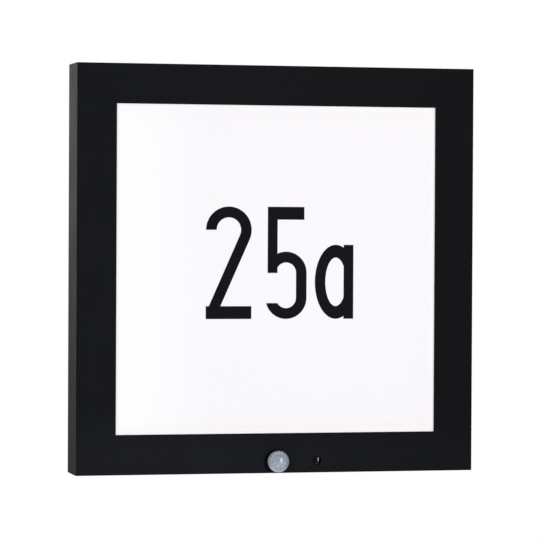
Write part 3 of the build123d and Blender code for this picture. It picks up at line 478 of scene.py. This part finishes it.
sheetFinishes = {
    "clearGuide": {
        "nodes": ("light_guide",), "effect": "grain",
        "pattern": {"colour": (0.86, 0.9, 0.91), "secondColour": (0.92, 0.95, 0.96), "grain": 0.6,
                    "mottle": 0.05, "roughness": 0.12, "roughnessSpread": 0.1},
        "bump": 0.05, "shader": {"Transmission Weight": 0.6, "IOR": 1.49},
    },
    "numberFilm": {
        "nodes": ("number_first_digit", "number_second_digit", "number_letter"), "effect": "grain",
        "pattern": {"colour": (0.0034, 0.0035, 0.0055), "secondColour": (0.0056, 0.0057, 0.0083),
                    "grain": 2.2, "mottle": 0.08, "roughness": 0.55, "roughnessSpread": 0.14},
        "bump": 0.08, "wear": (0.03, 0.031, 0.035), "wearWidth": 0.15 * mm, "wearAmount": 0.4,
        "shader": {"Specular IOR Level": 0.08},
    },
    "reflectorWhite": {
        "nodes": ("reflector_sheet",), "effect": "grain",
        "pattern": {"colour": (0.86, 0.86, 0.84), "secondColour": (0.93, 0.93, 0.92), "grain": 1.2,
                    "mottle": 0.03, "roughness": 0.7, "roughnessSpread": 0.1},
        "bump": 0.04,
    },
    "gasketRubber": {
        "nodes": ("bezel_gasket", "back_gasket", "terminal_cover_gasket", "cable_grommet"), "effect": "grain",
        "pattern": {"colour": (0.016, 0.016, 0.017), "secondColour": (0.034, 0.034, 0.035), "grain": 2.6,
                    "mottle": 0.2, "roughness": 0.68, "roughnessSpread": 0.18},
        "bump": 0.22, "wear": (0.075, 0.075, 0.078), "wearWidth": 0.5 * mm, "wearAmount": 0.45,
        "shader": {"Specular IOR Level": 0.3},
    },
    "aluminiumSheet": {
        "nodes": ("panel_tray", "back_pan", "terminal_cover"), "effect": "streaks",
        "pattern": {"colour": (0.58, 0.59, 0.60), "streakColour": (0.66, 0.67, 0.68),
                    "stretch": (0.02, 2.2, 2.2), "clouds": 0.02, "roughness": 0.38, "roughnessSpread": 0.12},
        "bump": 0.05, "wear": (0.78, 0.79, 0.8), "wearWidth": 0.4 * mm, "wearAmount": 0.5,
        "shader": {"Metallic": 0.6},
    },
    "castAluminium": {
        "nodes": ("corner_keys", "rail_rivets"), "effect": "streaks",
        "pattern": {"colour": (0.46, 0.47, 0.48), "streakColour": (0.62, 0.63, 0.64),
                    "stretch": (1.2, 1.2, 1.2), "clouds": 0.1, "roughness": 0.42, "roughnessSpread": 0.2},
        "bump": 0.15, "wear": (0.76, 0.77, 0.78), "wearWidth": 0.3 * mm, "wearAmount": 0.6,
        "shader": {"Metallic": 0.9},
    },
    "zincSteel": {
        "nodes": ("wall_bracket", "hanging_rail", "panel_retainers"), "effect": "spangle",
        "pattern": {"colour": (0.50, 0.51, 0.53), "crystalColour": (0.61, 0.62, 0.64), "size": 0.34,
                    "roughness": 0.36, "roughnessSpread": 0.10},
        "bump": 0.05, "wear": (0.7, 0.71, 0.72), "wearWidth": 0.4 * mm, "wearAmount": 0.6,
        "shader": {"Metallic": 0.6},
    },
    "screwSteel": {
        "nodes": ("corner_key_screws", "panel_retainer_screws", "back_pan_screws", "terminal_cover_screws",
                  "terminal_clamp_screws", "terminal_fixing_screws", "driver_screws", "control_screws",
                  "sensor_board_screws", "securing_screw_left", "securing_screw_right", "earth_screw"),
        "effect": "streaks",
        "pattern": {"colour": (0.42, 0.42, 0.42), "streakColour": (0.62, 0.62, 0.61),
                    "stretch": (2.4, 2.4, 2.4), "clouds": 0.5, "roughness": 0.3, "roughnessSpread": 0.2},
        "bump": 0.1, "wear": (0.8, 0.8, 0.79), "wearWidth": 0.2 * mm, "wearAmount": 0.7,
        "shader": {"Metallic": 0.95},
    },
    "ledBoardWhite": {
        "nodes": ("led_strip_left", "led_strip_right"), "effect": "streaks",
        "pattern": {"colour": (0.78, 0.78, 0.76), "streakColour": (0.86, 0.86, 0.85),
                    "stretch": (1.0, 1.0, 0.2), "clouds": 0.1, "roughness": 0.42, "roughnessSpread": 0.1},
        "bump": 0.05,
    },
    "terminalNylon": {
        "nodes": ("terminal_block", "control_standoffs"), "effect": "grain",
        "pattern": {"colour": (0.68, 0.66, 0.58), "secondColour": (0.76, 0.74, 0.67), "grain": 1.8,
                    "mottle": 0.15, "roughness": 0.45, "roughnessSpread": 0.12},
        "bump": 0.1, "wear": (0.86, 0.85, 0.8), "wearWidth": 0.3 * mm, "wearAmount": 0.4,
        "shader": {"Subsurface Weight": 0.08},
    },
    "terminalBrass": {
        "nodes": ("terminal_clamps", "earth_tab"), "effect": "streaks",
        "pattern": {"colour": (0.55, 0.38, 0.13), "streakColour": (0.72, 0.53, 0.22),
                    "stretch": (1.4, 1.4, 0.3), "clouds": 0.2, "roughness": 0.32, "roughnessSpread": 0.2},
        "bump": 0.08, "wear": (0.86, 0.7, 0.38), "wearWidth": 0.25 * mm, "wearAmount": 0.6,
        "shader": {"Metallic": 1.0},
    },
    "driverCase": {
        "nodes": ("driver_base", "driver_cover"), "effect": "grain",
        "pattern": {"colour": (0.6, 0.6, 0.585), "secondColour": (0.68, 0.68, 0.665), "grain": 1.6,
                    "mottle": 0.06, "roughness": 0.55, "roughnessSpread": 0.14},
        "bump": 0.16, "wear": (0.78, 0.78, 0.77), "wearWidth": 0.4 * mm, "wearAmount": 0.4,
    },
    "componentBlack": {
        "nodes": ("driver_components",), "effect": "grain",
        "pattern": {"colour": (0.008, 0.008, 0.009), "secondColour": (0.02, 0.02, 0.022), "grain": 2.0,
                    "mottle": 0.3, "roughness": 0.4, "roughnessSpread": 0.16},
        "bump": 0.1, "wear": (0.08, 0.08, 0.09), "wearWidth": 0.3 * mm, "wearAmount": 0.4,
    },
    "trimmerBlue": {
        "nodes": ("trimmer_bodies",), "effect": "grain",
        "pattern": {"colour": (0.008, 0.045, 0.2), "secondColour": (0.015, 0.07, 0.27), "grain": 2.2,
                    "mottle": 0.3, "roughness": 0.4, "roughnessSpread": 0.12},
        "bump": 0.1, "wear": (0.1, 0.2, 0.45), "wearWidth": 0.25 * mm, "wearAmount": 0.4,
    },
    "knobWhite": {
        "nodes": ("time_trimmer_knob", "light_trimmer_knob"), "effect": "grain",
        "pattern": {"colour": (0.68, 0.68, 0.65), "secondColour": (0.78, 0.78, 0.76), "grain": 2.4,
                    "mottle": 0.3, "roughness": 0.42, "roughnessSpread": 0.12},
        "bump": 0.08, "wear": (0.88, 0.88, 0.86), "wearWidth": 0.2 * mm, "wearAmount": 0.5,
        "shader": {"Subsurface Weight": 0.05},
    },
    # the collar is darker than the frame: partly its own black, partly painted shade standing in for the
    # dome's shadow on the frame
    "sensorBlackAndPaintedShade": {
        "nodes": ("pir_collar", "sensor_holder"), "effect": "grain",
        "pattern": {"colour": (0.0010, 0.0011, 0.0014), "secondColour": (0.0024, 0.0025, 0.0030),
                    "grain": 3.0, "mottle": 0.3, "roughness": 0.5, "roughnessSpread": 0.14},
        "bump": 0.1, "wear": (0.03, 0.031, 0.035), "wearWidth": 0.25 * mm, "wearAmount": 0.3,
        "shader": {"Specular IOR Level": 0.06},
    },
    "sensorCan": {
        "nodes": ("pir_sensor",), "effect": "streaks",
        "pattern": {"colour": (0.5, 0.48, 0.43), "streakColour": (0.66, 0.64, 0.58),
                    "stretch": (1.6, 1.6, 1.6), "clouds": 0.3, "roughness": 0.3, "roughnessSpread": 0.16},
        "bump": 0.08, "wear": (0.8, 0.78, 0.72), "wearWidth": 0.2 * mm, "wearAmount": 0.5,
        "shader": {"Metallic": 1.0},
    },
    "leadJacket": {
        "nodes": ("mains_lead", "led_leads", "control_lead", "sensor_lead"), "effect": "grain",
        "pattern": {"colour": (0.58, 0.58, 0.55), "secondColour": (0.68, 0.68, 0.66), "grain": 1.4,
                    "mottle": 0.1, "roughness": 0.45, "roughnessSpread": 0.12},
        "bump": 0.08,
    },
}

for name, look in sheetFinishes.items():
    coverNodes(finishSurface(name, look), *look["nodes"])

# circuit boards: lacquer over copper tracks, with tinned pads
circuitBoard = {
    "lacquer": (0.006, 0.075, 0.028),
    "secondLacquer": (0.008, 0.09, 0.034),
    "mottleScale": 0.15,
    "mottleDetail": 3.0,
    "overTrack": (0.012, 0.13, 0.05),
    "trackPitch": 0.42,  # tracks per millimetre
    "trackEdge": (0.16, 0.12),  # distance to a cell's edge where a track starts, and where it is full
    "pad": (0.62, 0.61, 0.56),
    "padPitch": 0.28,
    "padScatter": 0.7,
    "padEdge": (0.2, 0.17),
    "lacquerRoughness": 0.3,
    "padRoughness": 0.22,
    "bump": 0.25,
    "bumpHeight": 0.05 * mm,
}


def finishBoards():
    material, tree, shader = startMaterial("circuitBoard")
    place = inMillimetres(tree)
    bent = put(tree, "ShaderNodeTexVoronoi", {"Vector": place, "Scale": circuitBoard["trackPitch"]},
               feature="DISTANCE_TO_EDGE", distance="CHEBYCHEV")
    track = spread(tree, bent.outputs["Distance"], *circuitBoard["trackEdge"])
    dotted = {"Vector": place, "Scale": circuitBoard["padPitch"], "Randomness": circuitBoard["padScatter"]}
    dots = put(tree, "ShaderNodeTexVoronoi", dotted)
    pad = spread(tree, dots.outputs["Distance"], *circuitBoard["padEdge"])
    mottle = noise(tree, place, circuitBoard["mottleScale"], circuitBoard["mottleDetail"])
    lacquer = blendColours(tree, mottle, circuitBoard["lacquer"], circuitBoard["secondLacquer"])
    colour = blendColours(tree, track, lacquer, circuitBoard["overTrack"])
    feed(tree, shader.inputs["Base Color"], blendColours(tree, pad, colour, circuitBoard["pad"]))
    rough = spread(tree, pad, 0.0, 1.0, circuitBoard["lacquerRoughness"], circuitBoard["padRoughness"])
    feed(tree, shader.inputs["Roughness"], rough)
    feed(tree, shader.inputs["Metallic"], pad)
    raised = calc(tree, "ADD", track, pad)
    addBump(tree, shader, raised, circuitBoard["bump"], circuitBoard["bumpHeight"])
    coverNodes(material, "driver_board", "control_board", "sensor_board")


# LED packages: yellow phosphor in a white rim, lit
ledPackage = {
    "phosphor": (0.86, 0.68, 0.16),
    "secondPhosphor": (0.78, 0.6, 0.12),
    "grainScale": 3.0,
    "rim": (0.86, 0.86, 0.84),
    "rimWidth": 0.5 * mm,
    "glow": (1.0, 0.95, 0.86),
    "warmGlow": (1.0, 0.9, 0.72),
    "strength": 0.8,
    "roughnessRange": (0.35, 0.5),
}


def finishLeds():
    material, tree, shader = startMaterial("ledPhosphor")
    place = inMillimetres(tree)
    grains = put(tree, "ShaderNodeTexVoronoi", {"Vector": place, "Scale": ledPackage["grainScale"]})
    cells = grains.outputs["Distance"]
    rim = useEffect(tree, "edgeWear", width=ledPackage["rimWidth"], amount=1.0)["Mask"]
    grainy = blendColours(tree, cells, ledPackage["phosphor"], ledPackage["secondPhosphor"])
    feed(tree, shader.inputs["Base Color"], blendColours(tree, rim, grainy, ledPackage["rim"]))
    feed(tree, shader.inputs["Roughness"], spread(tree, cells, 0.0, 1.0, *ledPackage["roughnessRange"]))
    glow = blendColours(tree, cells, ledPackage["glow"], ledPackage["warmGlow"])
    feed(tree, shader.inputs["Emission Color"], glow)
    shader.inputs["Emission Strength"].default_value = ledPackage["strength"]
    coverNodes(material, "leds_left", "leds_right")


finishBoards()
finishLeds()

# motion sensor dome: milky, pressed in facets, each a small lens

sensorDome = {
    # each ring of facets: angle from the tip, number of facets, first facet's turn
    "rings": ((0, 1, 0), (27, 6, 0), (52, 12, 15), (79, 16, 0)),
    "facetFlatness": 0.2,
    "facetCap": 12,  # degrees of the sphere's cap, which sets how deep a facet's middle is pressed
    "grooveDepth": 0.05 * mm,
    "grooveWidth": 0.03,
    "lensRise": 0.006 * mm,
    "lensPitch": 0.085,
    "skirtAngle": 97,
    "tipLean": 0.004,  # lean of the first ring in radians, which leaves a tiny flat at the tip
    "wall": 0.9 * mm,
    "turns": 144,
    "steps": 72,
    "colour": (0.49, 0.535, 0.63),
    "deep": (0.25, 0.28, 0.345),
    "seamTone": (0.22, 0.25, 0.31),
    "paintedGrooveShadeStrength": 0.6,
    "topShade": 0.85,
    "lowShade": 0.95,
    # colour of the painted rim light, paling the dome towards its edge
    "rim": (0.60, 0.65, 0.74),
    "rimShare": 0.4,
    "rimRange": (0.66, 0.97),  # shares of the radius where the painted rim light starts and is full
    "grain": 1.4,
    "mottle": 0.45,
    "roughness": 0.2,
    "roughnessSpread": 0.08,
    "bump": 0.02,
    "milkiness": 0.3,
    "milkDepth": 0.6 * mm,
    "gloss": 1.0,
    "glossRoughness": 0.03,
    "glossDepth": 1.72,  # index of the clear skin, which sets how bright its highlight is
}


def facetDirections():
    found = []
    for angle, count, first in sensorDome["rings"]:
        for number in range(count):
            turn = radians(first + 360 * number / count)
            lean = radians(angle)
            found.append(Vector((sin(lean) * cos(turn), -cos(lean), sin(lean) * sin(turn))))
    return found


def facetedShape(direction, lean, radius, facets):
    # facets meet in shallow grooves, and each has faint rings round its middle
    if lean > radians(sensorDome["skirtAngle"]):
        return radius - sensorDome["grooveDepth"], 1.0
    nearness = sorted((direction.dot(facet) for facet in facets), reverse=True)
    best, second = nearness[0], nearness[1]
    reach = acos(min(1.0, best))
    flat = radius * (1 - sensorDome["facetFlatness"] * (1 - cos(radians(sensorDome["facetCap"]))))
    shaped = radius - (radius - min(radius, flat / cos(reach))) * sensorDome["facetFlatness"]
    groove = max(0.0, 1 - (best - second) / sensorDome["grooveWidth"])
    ripple = 0.5 + 0.5 * cos(2 * pi * reach / sensorDome["lensPitch"])
    rise = (1 - ripple) * sensorDome["lensRise"] * (1 - groove)
    return shaped - groove * sensorDome["grooveDepth"] - rise, groove


def addRing(mesh, seam, centre, lean, turns, shapeAt):
    ring = []
    for number in range(turns):
        turn = 2 * pi * number / turns
        direction = Vector((sin(lean) * cos(turn), -cos(lean), sin(lean) * sin(turn)))
        reach, groove = shapeAt(direction, lean)
        point = mesh.verts.new(centre + direction * reach)
        point[seam] = groove
        ring.append(point)
    return ring


def joinRings(mesh, first, second):
    for number in range(len(first)):
        after = (number + 1) % len(first)
        mesh.faces.new((first[number], first[after], second[after], second[number]))


def closeRings(mesh, rings, dataName, pieceName):
    # joins each ring to the next, caps both ends and makes a smooth piece of it
    for first, second in zip(rings, rings[1:]):
        joinRings(mesh, first, second)
    mesh.faces.new(rings[0][::-1])
    mesh.faces.new(rings[-1])
    bmesh.ops.recalc_face_normals(mesh, faces=mesh.faces)
    data = bpy.data.meshes.new(dataName)
    mesh.to_mesh(data)
    mesh.free()
    for face in data.polygons:
        face.use_smooth = True
    piece = bpy.data.objects.new(pieceName, data)
    scene.collection.objects.link(piece)
    return piece


def makeDome():
    low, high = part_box("pir_lens")
    radius = (high.x - low.x) / 2
    centre = Vector(((low.x + high.x) / 2, low.y + radius, (low.z + high.z) / 2))
    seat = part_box("pir_collar")[0].y - centre.y
    facets = facetDirections()
    turns, steps = sensorDome["turns"], sensorDome["steps"]
    mesh = bmesh.new()
    seam = mesh.verts.layers.float.new("seam")
    rings = []
    hollow = radius - sensorDome["wall"]

    def outsideAt(direction, lean):
        return facetedShape(direction, lean, radius, facets)

    def insideAt(direction, lean):
        return hollow, 0.0

    for shapeAt, size in ((outsideAt, radius), (insideAt, hollow)):
        baseLean = acos(-seat / size)
        for step in range(steps + 1):
            share = step / steps if shapeAt is outsideAt else 1 - step / steps
            lean = max(sensorDome["tipLean"], baseLean * share)
            rings.append(addRing(mesh, seam, centre, lean, turns, shapeAt))
    dome = closeRings(mesh, rings, "sensorDome", "motion_sensor_dome")
    dome.data.materials.append(milkyLens())
    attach(dome, "lamp")
    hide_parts("pir_lens")
    covered.add("pir_lens")


def milkyLens():
    material, tree, shader = startMaterial("milkyLens")
    surface = useEffect(
        tree, "grain", colour=sensorDome["deep"], secondColour=sensorDome["colour"],
        grain=sensorDome["grain"], mottle=sensorDome["mottle"],
        roughness=sensorDome["roughness"], roughnessSpread=sensorDome["roughnessSpread"],
    )
    low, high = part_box("pir_lens")
    height = put(tree, "ShaderNodeSeparateXYZ", {0: inMillimetres(tree)}).outputs["Z"]
    middleHeight = (low.z + high.z) / 2 / mm
    upper = spread(tree, height, middleHeight, high.z / mm, 0.0, sensorDome["topShade"], soft=True)
    lower = spread(tree, height, middleHeight, low.z / mm, 0.0, sensorDome["lowShade"], soft=True)
    tone = blendColours(tree, calc(tree, "ADD", upper, lower), surface["Colour"], sensorDome["deep"])
    # painted rim light: the dome grows paler towards its edge, standing in for light through the milky lens
    middle = Vector(((low.x + high.x) / 2, 0, (low.z + high.z) / 2)) / mm
    fromMiddle = calcVector(tree, "SUBTRACT", {0: inMillimetres(tree), 1: middle})
    flatFromMiddle = calcVector(tree, "MULTIPLY", {0: fromMiddle, 1: (1, 0, 1)})
    reach = calcVector(tree, "LENGTH", {0: flatFromMiddle}, "Value")
    radius = (high.x - low.x) / 2 / mm
    paintedRimLightFrom, paintedRimLightFull = sensorDome["rimRange"]
    paintedRimLight = spread(tree, reach, paintedRimLightFrom * radius, paintedRimLightFull * radius, 0.0, sensorDome["rimShare"], soft=True)
    tone = blendColours(tree, paintedRimLight, tone, sensorDome["rim"])
    # painted shade darkens the grooves between the facets, read from the groove mask kept on the mesh
    seam = put(tree, "ShaderNodeAttribute", attribute_name="seam").outputs["Fac"]
    share = calc(tree, "MULTIPLY", seam, sensorDome["paintedGrooveShadeStrength"])
    feed(tree, shader.inputs["Base Color"], blendColours(tree, share, tone, sensorDome["seamTone"]))
    feed(tree, shader.inputs["Roughness"], surface["Roughness"])
    shader.inputs["Subsurface Weight"].default_value = sensorDome["milkiness"]
    shader.inputs["Subsurface Radius"].default_value = (1.0, 1.0, 1.0)
    shader.inputs["Subsurface Scale"].default_value = sensorDome["milkDepth"]
    shader.inputs["Coat Weight"].default_value = sensorDome["gloss"]
    shader.inputs["Coat IOR"].default_value = sensorDome["glossDepth"]
    shader.inputs["Coat Roughness"].default_value = sensorDome["glossRoughness"]
    addBump(tree, shader, surface["Height"], sensorDome["bump"])
    return material


# dusk sensor: a dark glossy lens that is round across and nearly straight up and down

duskEye = {
    "roundness": 2.9 * mm,  # radius of the lens across
    "endSag": 0.6 * mm,  # how far its top and bottom fall back
    "endSquareness": 4,  # power of the fall, where 2 is a plain round end
    "ridge": 0.85 * mm,  # the lens's foremost line, right of the middle
    "leftReach": 0.85,  # the left side is stretched, and uses this share of the lens's radius
    "rings": 24,
    "turns": 72,
    "colour": (0.0025, 0.0025, 0.003),
    "secondColour": (0.006, 0.006, 0.007),
    "grain": 3.0,
    "mottle": 0.6,
    "roughness": 0.1,
    "roughnessSpread": 0.06,
    "bump": 0.01,
    "specular": 1.0,
    "gloss": 1.0,
    "glossRoughness": 0.03,
}


def makeEye():
    low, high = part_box("dusk_sensor")
    middle = (low + high) / 2
    radius = (high.x - low.x) / 2
    roundness = duskEye["roundness"]

    def frontAt(x, z):
        across = x - duskEye["ridge"]
        if across < 0:
            across *= duskEye["leftReach"] * roundness / (radius + duskEye["ridge"])
        fallen = sqrt(max(0.0, 1 - (z / radius) ** duskEye["endSquareness"]))
        return low.y + roundness - sqrt(roundness**2 - across**2) + duskEye["endSag"] * (1 - fallen)

    mesh = bmesh.new()
    rings = []
    for step in range(1, duskEye["rings"] + 1):
        reach = radius * sin(pi / 2 * step / duskEye["rings"])
        ring = []
        for number in range(duskEye["turns"]):
            turn = 2 * pi * number / duskEye["turns"]
            x, z = reach * cos(turn), reach * sin(turn)
            ring.append(mesh.verts.new((middle.x + x, frontAt(x, z), middle.z + z)))
        rings.append(ring)
    rings.append([mesh.verts.new((point.co.x, high.y, point.co.z)) for point in rings[-1]])
    eye = closeRings(mesh, rings, "duskEye", "dusk_sensor_eye")
    eye.data.materials.append(darkLens())
    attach(eye, "lamp")
    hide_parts("dusk_sensor")
    covered.add("dusk_sensor")


def darkLens():
    material, tree, shader = startMaterial("darkLens")
    surface = useEffect(
        tree, "grain", colour=duskEye["colour"], secondColour=duskEye["secondColour"],
        grain=duskEye["grain"], mottle=duskEye["mottle"],
        roughness=duskEye["roughness"], roughnessSpread=duskEye["roughnessSpread"],
    )
    feed(tree, shader.inputs["Base Color"], surface["Colour"])
    feed(tree, shader.inputs["Roughness"], surface["Roughness"])
    shader.inputs["Specular IOR Level"].default_value = duskEye["specular"]
    shader.inputs["Coat Weight"].default_value = duskEye["gloss"]
    shader.inputs["Coat Roughness"].default_value = duskEye["glossRoughness"]
    addBump(tree, shader, surface["Height"], duskEye["bump"])
    return material


makeDome()
makeEye()
left = sorted(set(nodes) - covered)
print("finishes done,", len(covered), "nodes covered, left:", left)

# studio: white behind the sign, dimmer in front of it, soft lamps at a plain level

studio = {
    "ambient": 0.40,
    "frontGlow": 0.05,  # what gloss sees on the street side
    "frontToBack": (-0.2, 0.5),  # how far a ray points back where the level starts and stops rising
    "lowGlow": 0.1,  # the backdrop's level below the sign, against 1 above it
    "lowToHigh": (-0.14, 0.16),  # the same for how far it points up
    "floorDrop": 0.45,
    "floorRadius": 1.2,
    "floorSegments": 96,
    "floorFadeFrom": 0.45,  # share of the radius where the floor starts to fade out
    "floorTone": (0.86, 0.86, 0.87),
    "floorSecondTone": (0.9, 0.9, 0.9),
    "floorMottle": 6.0,
    "floorRoughness": 0.8,
    "floorLift": 0.22,
}


def makeWorld():
    world = bpy.data.worlds.new("studio")
    world.use_nodes = True
    scene.world = world
    tree = world.node_tree
    tree.nodes.clear()
    direction = put(tree, "ShaderNodeTexCoord").outputs["Generated"]
    split = put(tree, "ShaderNodeSeparateXYZ", {0: direction}).outputs
    height = spread(tree, split["Z"], *studio["lowToHigh"], studio["lowGlow"], 1.0, soft=True)
    behind = spread(tree, split["Y"], *studio["frontToBack"], studio["frontGlow"], height, soft=True)
    path = put(tree, "ShaderNodeLightPath").outputs
    plain = calc(tree, "MAXIMUM", path["Is Camera Ray"], path["Is Transmission Ray"])
    gloss = calc(tree, "MULTIPLY", path["Is Glossy Ray"], behind)
    seen = calc(tree, "MAXIMUM", plain, path["Is Glossy Ray"])
    level = calc(tree, "MAXIMUM", plain, gloss)
    backdrop = put(tree, "ShaderNodeBackground", {"Color": (1, 1, 1), "Strength": level})
    ambient = put(tree, "ShaderNodeBackground", {"Color": (1, 1, 1), "Strength": studio["ambient"]})
    shaders = {0: seen, 1: ambient.outputs[0], 2: backdrop.outputs[0]}
    mixed = put(tree, "ShaderNodeMixShader", shaders)
    put(tree, "ShaderNodeOutputWorld", {"Surface": mixed.outputs[0]})


lamps = {
    # name: (place in metres, width, height, watts, colour, seen in gloss)
    "rightSoftbox": ((0.45, -1.15, 0.28), 0.34, 1.10, 5.8, (1.0, 1.0, 1.0), True),
    "leftFill": ((-0.55, -0.75, -0.10), 0.40, 0.40, 3.0, (1.0, 1.0, 1.0), False),
    "leftBack": ((-0.70, 0.80, 0.60), 1.60, 1.40, 8.6, (0.94, 0.955, 1.0), True),
    "rightBack": ((0.80, 1.20, 0.50), 0.90, 0.90, 4.0, (1.0, 1.0, 1.0), False),
}


def makeLamps():
    for name, (place, width, height, watts, colour, glossy) in lamps.items():
        data = bpy.data.lights.new(name, "AREA")
        data.shape = "RECTANGLE"
        data.size, data.size_y = width, height
        data.energy = watts
        data.color = colour
        lamp = bpy.data.objects.new(name, data)
        lamp.location = place
        lamp.rotation_mode = "QUATERNION"
        lamp.rotation_quaternion = Vector(place).to_track_quat("Z", "Y")
        lamp.visible_glossy = glossy
        lamp.visible_camera = False
        scene.collection.objects.link(lamp)


def makeFloor():
    mesh = bmesh.new()
    radius = studio["floorRadius"]
    bmesh.ops.create_circle(mesh, cap_ends=True, segments=studio["floorSegments"], radius=radius)
    data = bpy.data.meshes.new("floor")
    mesh.to_mesh(data)
    mesh.free()
    floor = bpy.data.objects.new("floor", data)
    floor.location.z = cadLow.z - studio["floorDrop"]
    scene.collection.objects.link(floor)
    material, tree, shader = startMaterial("paleFloor")
    place = put(tree, "ShaderNodeTexCoord").outputs["Object"]
    reach = calcVector(tree, "LENGTH", {0: place}, "Value")
    fade = spread(tree, reach, studio["floorFadeFrom"] * radius, radius, soft=True)
    mottle = noise(tree, place, studio["floorMottle"])
    tone = blendColours(tree, mottle, studio["floorTone"], studio["floorSecondTone"])
    feed(tree, shader.inputs["Base Color"], tone)
    shader.inputs["Roughness"].default_value = studio["floorRoughness"]
    # seen by the camera, the floor is nearer to the backdrop's white
    seen = put(tree, "ShaderNodeLightPath").outputs["Is Camera Ray"]
    shader.inputs["Emission Color"].default_value = (1, 1, 1, 1)
    feed(tree, shader.inputs["Emission Strength"], calc(tree, "MULTIPLY", seen, studio["floorLift"]))
    # a camera below the floor sees the sign's underside through it
    under = calc(tree, "MULTIPLY", seen, put(tree, "ShaderNodeNewGeometry").outputs["Backfacing"])
    clear = put(tree, "ShaderNodeBsdfTransparent")
    share = calc(tree, "MAXIMUM", fade, under)
    mixed = put(tree, "ShaderNodeMixShader", {0: share, 1: shader.outputs[0], 2: clear.outputs[0]})
    feed(tree, tree.nodes["Material Output"].inputs["Surface"], mixed.outputs[0])
    data.materials.append(material)


makeWorld()
makeLamps()
makeFloor()
print("studio lit")
